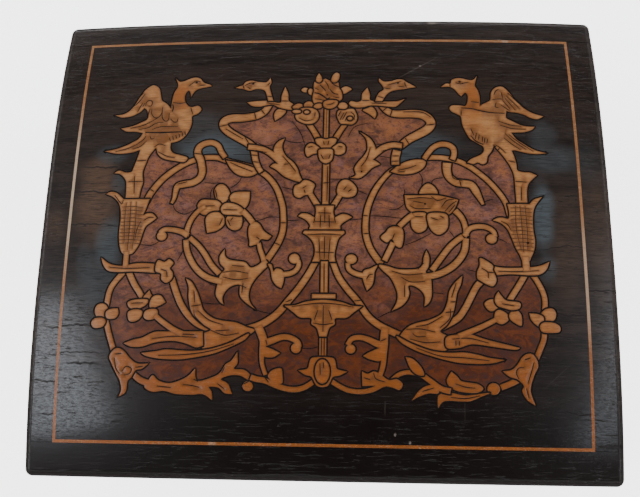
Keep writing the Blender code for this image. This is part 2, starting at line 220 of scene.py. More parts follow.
LEFT: list[Motif] = [
    ("outer_flower", [
    Figure([Vine([-85.5-20j, -89-24.2j, -91-28j, -91.8-33j, -92.4-38j, -91.2-42.5j, -90-46.5j, -88.6-50.5j,
      -87-55j], (2.3,))]),
    Figure([Leaf([-97-36.8j, -96-34j, -93-33.6j, -91.2-35.6j, -92-38.8j, -95.4-39.6j])], tone=0.2),
    Figure([Leaf([-98.2-42j, -97-40j, -93.6-39.6j, -91.8-41j, -93-43.4j, -96.6-44j])]),
    Figure([Leaf([-92-37.2j, -90-35.8j, Tip(-86.8-35.6j), -86.4-38j, -88-40j, -91.4-39.8j])], tone=0.1)]),
    ("scroll", [
    Figure([Vine([-77.9+11.5j, -76.4+15j, -74.4+18.2j, -71.2+22.2j, -67+25.9j, -62+29.2j, -57.5+31.2j,
      -52.6+32.4j, -47+32.3j, -42+30.6j, -36+29j, -31+27.5j, -28+26j, -24.6+23.6j, -21.8+20.6j, -19.6+17j,
      -18.1+13j, -17+9j, -16.6+4.6j, -16.5+0.6j, -17-3j, -18.5-7j, -20.8-11j, -23.4-15j],
      (2.8, 2.4, 2.3, 2.4, 2.6))], [(-17.8+2j, -15.4+2j), (-74.6+16.6j, -76.6+18j), (-21-6.6j, -17.6-8j)]),
    Figure([Leaf([Tip(-43+31j), -40.8+27.2j, -38.2+24.6j, -35+23.4j, -31+23.6j, Tip(-27.8+25.6j), -30.4+27.4j,
      -34+28.8j, -38.6+30.2j])], [(-41+30j, -36+27.6j, -31+25.6j)], tone=0.1),
    Figure([Vine([-43.4+32.4j, -45.4+35.2j, -46.8+38j, -49.4+39.6j, -52.6+39.4j, -55.4+37.6j, -56+34.6j,
      -54.6+31.6j, -53.8+28.6j, -53.4+25.6j, -54.4+22.6j, -57.4+20.6j, -61+19.9j, -64+19j, -64.8+16.4j,
      -65.2+13.4j, -66.2+11j], (2.2, 2.6, 3.2, 3, 3, 1.2))], [(-57.6+34.6j, -53.6+34j), (-60+21j, -64+20j)])]),
    ("flower", [
    Figure([Vine([-34.6+7.4j, -32+4.8j, -29.8+2j], (2.6, 2.4)), Leaf([-31.6-3.4j, -31.4+0.4j, -29+2.4j,
      -26.8+1.4j, -25.2-1.2j, -23.4-2.8j, Tip(-21.4-4j), -23-5.6j, -26-5.4j, -27.2-7.4j, -29-8j, -30.8-8.4j,
      -31-6j])], [(-26.6-5.4j, -28-4.4j)], joined=True),
    Figure([Vine([-58.8-4j, -58.4-0.4j, -56.8+3.8j, -54+7.4j, -51+9.6j], (2.2, 2))], joined=True),
    Figure([Leaf([-47.4+16.2j, -46.4+19j, -44.2+19.8j, -42+18.4j, -40.4+15j, -42.2+11.6j, -45.4+11.2j])],
      [(-47+17j, -46+13j)], tone=0.25),
    Figure([Leaf([-40.4+12.8j, -39.4+15.4j, -36.4+16.2j, Tip(-31.6+16.2j), -31.8+12j, -33.4+8.8j, -37+9j])],
      tone=0.15),
    Figure([Leaf([-54.6+10j, -53+12.4j, -49.6+12.6j, -45.6+12j, -43.6+9.4j, -46+7j, -50+5.6j, -52.6+6j,
      -53.8+8j])], [(-53+9.6j, -47+9.8j)], tone=0.05),
    Figure([Leaf([-50.6+4j, -50.2+0j, Tip(-49.6-2.6j), -45.6-1.6j, -42.6+0.8j, -42.4+4.2j, -45+6.8j,
      -48.6+6.4j])], [(-44.4+1j, -43.2+4j)], tone=0.1),
    Figure([Leaf([-41.6+4j, -40.8+0.4j, -38-1.4j, -35.2-0.4j, -34.4+3j, -35.4+5.6j, -39.4+6j])],
      [(-41+3.4j, -39.6+0.6j), (-39.6+3j, -38.6+4.4j)]),
    Figure([Leaf([-44.2+8.6j, -42.6+10.8j, -39.6+11j, -36+9.6j, -33.6+7.2j, -35+5.4j, -39+5.6j, -43+6j])],
      [(-43+8j, -37+7.8j)], tone=0.2),
    Figure([Vine([-26.9-7j, -26.2-10j, -25-13j, -24.4-15j], (1.8, 2.2))], joined=True),
    Figure([Vine([-57.2-4.6j, -53-8.4j, -50-12.2j, -47-16.8j, -43.4-20.6j], (2.2, 2.4))], joined=True),
    Figure([Vine([-58.8-5.6j, -58-10.4j, -55.8-15.2j, -52.4-19.6j, -48-22.5j, -42-24.2j], (2.4, 2.6))],
      joined=True),
    Figure([Vine([-58-3.8j, -60.5-2.2j, -64.5-1.1j, -68.4-0.9j, -70.6-2.4j], (2.6, 2.2, 2)),
      Disc(-69.6, -3.8, 2.2, 2.1)], joined=True)]),
    ("lower_scroll", [
    Figure([Leaf([Tip(-41.6-9.8j), -43.6-13j, -43.2-16.2j, -41.2-18.6j, -43-21j, -44-25j, -44.6-29.4j, -43-32.4j,
      Tip(-41-34j), -41.6-31j, -40.2-28j, -37.8-26j, -34.6-25.4j, -34.4-28j, -34-30.4j, -31.6-33j, Tip(-27.2-36j),
      -29.4-33.4j, -30.4-30.2j, -29.8-26.4j, -27.8-22.8j, -25-19.6j, -22.4-16.6j, -24-14.6j, -27-16.8j, -30-17.8j,
      -32.4-15.6j, -35.8-15j, -39.2-14.4j, -41.2-12.8j])], [(-42-20j, -37-19.4j, -31-20.4j), (-42-22j, -36-23.2j,
      -31-22.6j), (-33-24.6j, -33.4-29j), (-38-17j, -33-17.4j), (-35-25.4j, -31.6-26.6j)], tone=0.1),
    Figure([Leaf([-22.6-16.4j, -21.4-19j, -20.6-23j, -18.8-25.6j, Tip(-16.6-26.8j), -15.8-24.2j, -15.6-21j,
      -16.6-18.8j, -19-18.2j, -20.2-19.4j, -21-16.6j]), Vine([-16.4-20.9j, -13-20.4j, -10.6-19j, -9.4-16.6j,
      -9.8-14.6j], (2.2, 2)), Disc(-11.4, -13.9, 2.3, 2.2)], tone=0.05),
    Figure([Vine([-2.4-15.4j, -5.4-21j, -9.4-27j, -13.4-32j, -17.5-37j, -22-40.6j, -27-43.1j, -33-44.8j],
      (2.6, 2.8, 3))], [(-12-31.6j, -14.6-32.6j)])]),
    ("inner_flower", [
    Figure([Vine([-83-20j, -80.6-24.6j, -78-28.4j, -76.4-31j], (2.6, 2.4))]),
    Figure([Leaf([Tip(-73.4-27.8j), -75.4-30j, -76-32j, -73-33j, -70.8-31.4j, -72.4-29.8j])], tone=0.1),
    Figure([Leaf([-82.6-33j, -79.4-31.8j, -74-31.8j, -74.4-34j, -78-35.8j, -81.6-35.4j])],
      [(-81-33.4j, -76-33.2j)], tone=0.1),
    Figure([Leaf([-73-33.2j, -71.6-30.4j, -68.4-30j, Tip(-66-33j), -69-34.6j, -72.4-35.6j])], tone=0.2),
    Figure([Leaf([-82.2-37.2j, -81.6-40.8j, -79-41.2j, -76.6-39.6j, -76-36.8j, -79-36j])]),
    Figure([Leaf([-74.8-36.8j, -72-35.8j, -69.4-36.4j, -69.6-39.4j, -73-40.6j, -75.2-39.4j])], tone=0.15),
    Figure([Vine([-70.4-38.6j, -66.6-41.6j, -62-44.6j, -58-46.4j], (2.2, 2.4))], joined=True)]),
    ("lower_scroll", [
    Figure([Vine([-64-22.5j, -61.6-29j, -59-34.4j, -55.5-39j, -51-42.5j, -44-44.9j], (2.6, 2.6))]),
    Figure([Leaf([Tip(-57.8-22.6j), -55.2-24.2j, -52.6-28.4j, -51-32.4j, -49.4-36.4j, -45.6-39.4j, -41.6-40.6j,
      -35.4-41.4j, -31-43.2j, -27.4-44.6j, -31-47.4j, -36-50j, -43-51.8j, -49-52.4j, -50-50j, -49.4-46.4j,
      -46-44.6j, -49-42.6j, -52.8-39.6j, -55-36.2j, -56.2-31j, -56.4-26.4j])], [(-53.6-36j, -53-39j, -49-42.8j),
      (-54.8-34.6j, -50.6-34j), (-46-44.8j, -40-46.8j, -34-45.8j), (-44-45j, -38-44.6j), (-54-28j, -53.4-33j),
      (-52-36.4j, -47-40.4j, -41-42.4j)]),
    Figure([Leaf([Tip(-83.4-50.4j), -79-48.8j, -75.4-48j, -71.8-46.2j, -69-45.4j, -63.4-45.4j, Tip(-49.4-45.2j),
      Tip(-49-51.2j), -52-52j, -55.8-50.6j, -61-49.4j, -67-49.6j, -71-50.4j, -75.4-51.8j, -80.2-51.8j])],
      [(-71-48.4j, -62-47.4j, -52-47.8j), (-60-46.4j, -53-46.6j)], tone=-0.1),
    Figure([Leaf([Tip(-75.6-54.4j), -69-53.6j, -65-52.9j, -59-53.2j, -53-53.4j, -45-52.3j, -37-49.6j, -30-46j,
      -31.5-48.6j, -38-51.9j, -45-54.6j, -53-56.2j, -59-57j, -67-56.8j, -73-55.8j])], [(-68-55.4j, -56-54.9j,
      -46-53.4j, -36-50.4j)], tone=-0.1),
    Figure([Vine([-26-43j, -24.6-46j, -23.6-49j, -24-53j, -24-58j, -22.4-63j], (3.4, 3.4, 2.4, 1.7, 1.7)),
      Vine([-23.6-50j, -20.5-49j, -16-47.4j, -12.5-47.6j, -9.3-49.3j, -8.6-51.4j], (3, 2.4, 2.2)),
      Disc(-9.9, -51.9, 2.1, 2.1), Leaf([-23.4-51.6j, -20-52.3j, Tip(-16.4-54j), -19.6-55.8j, -23.6-55.2j])],
      [(-22.6-48.6j, -22-50.6j)], tone=-0.1, joined=True)]),
    ("stem", [
    Figure([Vine([-84.8-10.5j, -84.8-18j], (2.4,))], joined=True),
    Figure([Leaf([Tip(-96-13.2j), -92.8-15.6j, -89.8-16.7j, -85.8-17j, -81-16.1j, -76.2-15.9j, -70-16.8j, -70-20j,
      -76-19.9j, -82-19.6j, -88-19.8j, -92.4-19.2j, -94.8-16.6j])], [(-92-17.6j, -84-18.2j, -74-17.9j)],
      tone=0.1),
    Figure([Leaf([-71.4-17j, -70.4-14.6j, -67.6-15.4j, -65.6-14.2j, -63.6-16j, -65-18.2j, -63.6-20.4j, -64-23j,
      -66.4-24.6j, -68.6-23j, -68.8-20.6j, -71.2-19.6j])], [(-69-18.6j, -66.4-19.4j), (-66.4-19.4j, -66-22j)],
      tone=0.15)]),
    ("bird", [
    Figure([Leaf([Tip(-82.4+37.4j), -83.4+33j, -84.8+28.2j, -85.6+26.2j, -88.2+25.9j, -91.4+26.9j,
      Tip(-93.6+25.6j), -91+25.2j, -88.8+23.4j, -87.5+20.4j, Tip(-87.2+12j), Tip(-81.4+12j), -80.6+17.8j,
      -79.9+21j, -80.4+25.8j, -79.2+30.4j, -78.2+33.4j, Tip(-75.6+37.4j)]), Leaf([Tip(-69.2+73.2j), -67.2+71.4j,
      -65+71.6j, -62.6+72.8j, -59.8+73.5j, -57.4+72.7j, -56+70.8j, -54.4+70j, -52.8+69.4j, Tip(-51.8+68.6j),
      -54.4+68j, -57+67.4j, -59.4+66.2j, Tip(-61.2+63j), -61.6+65.2j, -62.6+66.4j, -63.9+64.4j, -63.9+61.4j,
      -62.6+59j, -60.6+57.8j, -57.4+58.4j, -55.8+56.4j, -57.4+54.2j, -59.8+53j, -59.7+50j, -60.4+46.6j, -62.4+43j,
      -65+40.8j, Tip(-68.6+39.8j), -68.6+37j, -67+34.8j, -63+33.6j, -60.4+32.4j, -62+30.4j, -66+31j, -70+31.7j,
      -72.4+32.8j, -74.2+34.6j, Tip(-75.2+37.6j), -78+35.4j, -82.4+36.6j, -85+35.8j, -90+35j, -94+35.2j,
      Tip(-99+36.4j), -93.8+37.4j, -89.8+38.8j, -86.6+40.4j, -83.8+42.2j, Tip(-82+45j), -85.8+45.8j, -89.8+46j,
      Tip(-92.6+47.6j), -87.4+48.6j, -83.4+50.4j, -80.8+51.8j, -80.5+54j, -81.2+56.6j, Tip(-82.6+57.8j),
      -84.2+55.8j, -85.8+54.9j, -88.2+53.7j, -92.6+53.2j, Tip(-96+54.4j), -91.8+55j, -89+57j, -86.8+60.4j,
      -84.8+64.4j, -82.8+67.6j, -79.6+69.8j, -76.6+68.2j, -75.6+65j, -74.6+61.6j, -72+59.6j, Tip(-69.9+57j),
      -69.9+61j, -69.2+65.4j, -67.8+68.4j, -68+70.6j])], [Disc(-59.2, 70.7, 0.6, 0.5), (-62.6+68.8j, -61+70.4j,
      -59.4+71.5j, -57.4+71j), (-57.6+69j, -55+69.3j), line(-81+45.3j, -74+45.1j, -64+45.3j, width=0.75),
      (-63.4+60.2j, -66+59.8j, -69.4+60.4j), line(-69.4+59.4j, -69+57.4j, -69.4+55.6j, width=0.6), (-60.8+57.4j,
      -60.2+55.6j, -59.7+54.2j), (-82.2+58.8j, -81.8+61j, -80.2+61.8j, -79+60.6j, -79.6+58.8j, -81+58.8j),
      (-83.6+60.6j, -84.8+58j, -85.6+56j), (-82.6+60.4j, -83.4+58.6j), (-79.8+57.4j, -80.4+55j, -80.4+52.6j),
      (-79+57.2j, -78.7+54.4j, -77+52.6j, -75.3+53j, -74.2+55j, -74+58j), (-74+57.4j, -73.8+53j, -72.4+51j,
      -70.8+51.3j, -70.6+55j), (-69.8+52j, -68.2+50.3j, -66.7+50.4j, -66.3+52.4j), (-88+47.6j, -82.6+48.8j,
      -78.6+50.8j, -76+52.4j), (-84+46.8j, -79.6+47.8j, -76.4+49.8j, -73+50.2j), (-78+46.6j, -74+48j, -66+48j),
      (-94+36.2j, -88.6+37.4j, -84+39.6j), (-86+37.2j, -82.6+38.4j, -80+41j), (-84+39.8j, -81.6+41.6j,
      -80.4+43.6j), (-78.6+43.4j, -77.8+41.9j, -76.4+42.5j), *[(complex(x, 0.43 * x + 70.4), complex(x - 0.5,
      0.43 * x + 72.2)) for x in (-69, -67.6, -66.2, -64.8, -63.4, -62.2)], (-71+38.6j, -74+39.4j, -76+38j),
      (-86+63j, -83.6+66j), (-74.2+35.6j, -70+33.4j, -66.4+32.6j), (-88.6+58j, -85.6+61j, -83+65.2j),
      (-83.6+31.4j, -79.4+31.6j), (-86.6+21.6j, -80+21.4j), (-84+24j, -83.6+16j)], tone=0.15)]),
    ("stem", [
    Figure([Leaf([Tip(-96.4+15.8j), -94.4+16.8j, -91.4+16.2j, Tip(-88+13.2j), Tip(-76.2+13.2j), -77.6+8.4j,
      -78.6+5.8j, -76.8+6.6j, -74.4+6.4j, Tip(-72.4+4.4j), -74.2+2.8j, -77+0.6j, -78.2-2.6j, -79.2-6.6j,
      -80.6-9.6j, -82.6-11.8j, -86.4-11.6j, -87.9-9j, -88.7-5j, -88.9-1j, -88.7+5j, -89.5+10j, -91+12.6j,
      -93.4+14.6j])], [*rungs(-88.4, -78.8, (9.6, 7.9, 6.2, 4.4, 2.7, 1, -0.6, -2.2, -3.8, -5.4, -7)),
      line(-86.6+11.6j, -86.8+4j, -86.2-7j, width=0.24), line(-84.6+12j, -84.4+2j, -84.4-10j, width=0.3),
      line(-82.2+12j, -81.8+2j, -82.4-9.6j, width=0.24), (-78+3.4j, -76+4.6j, -73.8+4.6j), (-88.2+13j, -89+11.2j,
      -92.4+15.2j), line(-79.4+3j, -81-1j, -81.6-6j, width=0.3)], tone=0.1)]),
    ("serpent", [
    Figure([Vine([-31.6+38.6j, -30.6+35j, -29.8+31j, -28.4+27.6j, -27+25.4j], (3, 2.6, 2.2))],
      [(-32.4+33.6j, -28.8+33.2j), (-31.6+30.4j, -28+30j)]),
    Figure([Vine([-24.2+60j, -25.2+57.4j, -27+54.8j, -30.5+52.8j, -36+51.9j, -41.6+51.7j, -44.7+50.3j, -45+47.8j,
      -42.6+45j, -38.4+42.2j, -34+39.6j, -31+37.2j], (2.6, 3.4, 3.8, 3.8, 3.6, 3.4))], [(-28.4+56j, -26.6+53.6j),
      (-31.4+54.8j, -30.4+50.8j), (-47+47.6j, -42.8+48.6j), (-35.4+42.8j, -32.8+38.6j), (-44+46.4j, -36+41.4j)],
      tone=0.1),
    Figure([Vine([-33.4+37.4j, -30+37j, -26+35.9j, -22.5+33.7j, -18+29.5j], (2.4, 2.6, 2.8)),
      Leaf([Tip(-17+41.6j), -18+38.6j, -17.8+35.8j, -16+32.6j, -13+30j, -11+27j, -10+24j, Tip(-8.4+20.6j),
      -11.4+21j, -14.6+22.2j, -17+23.4j, -20.2+26.2j, Tip(-23.2+28j), -21.6+29.4j, -19.6+29.4j, -21+32j,
      -21.9+35.6j, -21.2+38.4j, -19.4+40.4j])], [(-17.8+33j, -14.4+29j, -11.8+25.6j), (-17+29j, -15+29.2j),
      (-30+35.8j, -25+34.6j)], tone=0.1),
    Figure([Leaf([-19.8+56.2j, -17+55.2j, -18.6+52.6j, Tip(-21.8+50.2j), -22.4+53.2j, -21.4+55.6j])], tone=0.05),
    Figure([Leaf([Tip(-35+59.8j), -31+60.4j, -25+60.5j, -21.4+59.5j, -19.4+59.8j, -19.3+63j, Tip(-17.8+67.8j),
      -16.3+64j, -15.9+60.4j, -13.6+58.4j, -14.4+55.8j, -19.8+56.8j, -23+58.4j, -26+58.2j, -29+57.5j,
      -32.6+57.9j])], [(-19.2+60.4j, -16+60.2j), (-26+59.4j, -20+58.4j)], tone=0.1),
    Figure([Leaf([Tip(-40.8+67.4j), -38.8+68.4j, -37.2+69j, -36.2+70.6j, -33.4+71.3j, -30.2+70.5j, -26.6+70.4j,
      Tip(-24.8+72.6j), -24.3+70j, -25+67.8j, -24+64j, Tip(-23+60.4j), Tip(-25.4+60.4j), -26.2+63.6j, -27.4+66j,
      -31+66.7j, -34.2+65.8j, -37.2+66.8j])], [Disc(-32.7, 69.5, 0.5, 0.45), (-36.4+68.6j, -34.4+69.8j,
      -31.6+70.2j), (-35.2+67.6j, -33.6+66.8j), (-37.4+68.8j, -36.8+67j), (-25.8+62.8j, -23.6+62.6j),
      (-26+68.6j, -25+70j)], tone=0.2)]),
    ("border_vine", [
    Figure([Vine([-79-62.8j, -75.4-65.6j, -71-67.2j, -66-68.4j, -60-68.6j], (2.4, 2.8, 3)), Leaf([-72-66j,
      -70-63.6j, -67.4-65.8j, -63-66.8j, -59-65.8j, -55-63.8j, Tip(-52-60.6j), -51.7-64.6j, -50-65.8j,
      -43.8-63.8j, -41.2-62j, -39.2-58.8j, -36.8-57.2j, Tip(-34.4-53.6j), -34.2-58.2j, -35.6-60.6j, -31.4-61j,
      -28.6-63.2j, -27.6-66j, -30.4-64.7j, -33.4-63.3j, -37.8-63.5j, -41-65j, -38-66.8j, Tip(-36.2-71j),
      -39.4-70.6j, -42-68.4j, -46-68.2j, -44.8-70j, Tip(-44.4-73.6j), -48.4-71.2j, -53-71.4j, -59.8-71.2j,
      -65-70j, -70-70.4j, -73.4-68.6j]), Disc(-29.7, -67.7, 2.2, 2)], [(-57-67.4j, -53.6-67.6j, -50-68.4j),
      (-50.6-66j, -52.6-65j), (-42.4-66.8j, -39.4-69j), (-40.8-62.4j, -39.6-60j), (-68-68j, -62-68.6j),
      (-31.6-66.8j, -29-65.6j)], tone=-0.25),
    Figure([Vine([-28.6-64j, -26-64.8j, -22.5-65.4j, -17-67.6j, -11.4-68.8j, -6.4-68j, -1.6-65j],
      (2.4, 2.2, 2.2, 2)), Leaf([-21.4-63.4j, -19.6-61j, -16-60.2j, -15.3-63j, -15.5-66.4j, -19-66j])],
      [(-24.6-61.8j, -22.4-63.6j, -20.4-61.4j), (-22.8-63.8j, -21-66j)], tone=-0.3),
    Figure([Leaf([-87.6-53.2j, -89.3-56j, -88-59.2j, -85.9-63j, -84.2-66j, -83.4-69.6j, Tip(-84.4-72.6j),
      -81.4-70.6j, -80.8-66.4j, -79.2-64.4j, -77.4-61.6j, -74.8-61j, Tip(-72-58.8j), -76.8-58.8j, -80-56.8j,
      -83-53.6j, -85.6-52.4j])], [(-87-56.6j, -86-61j, -84.4-63j), (-83.4-62j, -81.6-60j, -79.4-61j, -80-63j,
      -82.4-63.6j), (-86.6-55j, -84-54.6j), (-77.6-60.4j, -74.4-60j)], tone=-0.1)]),
]

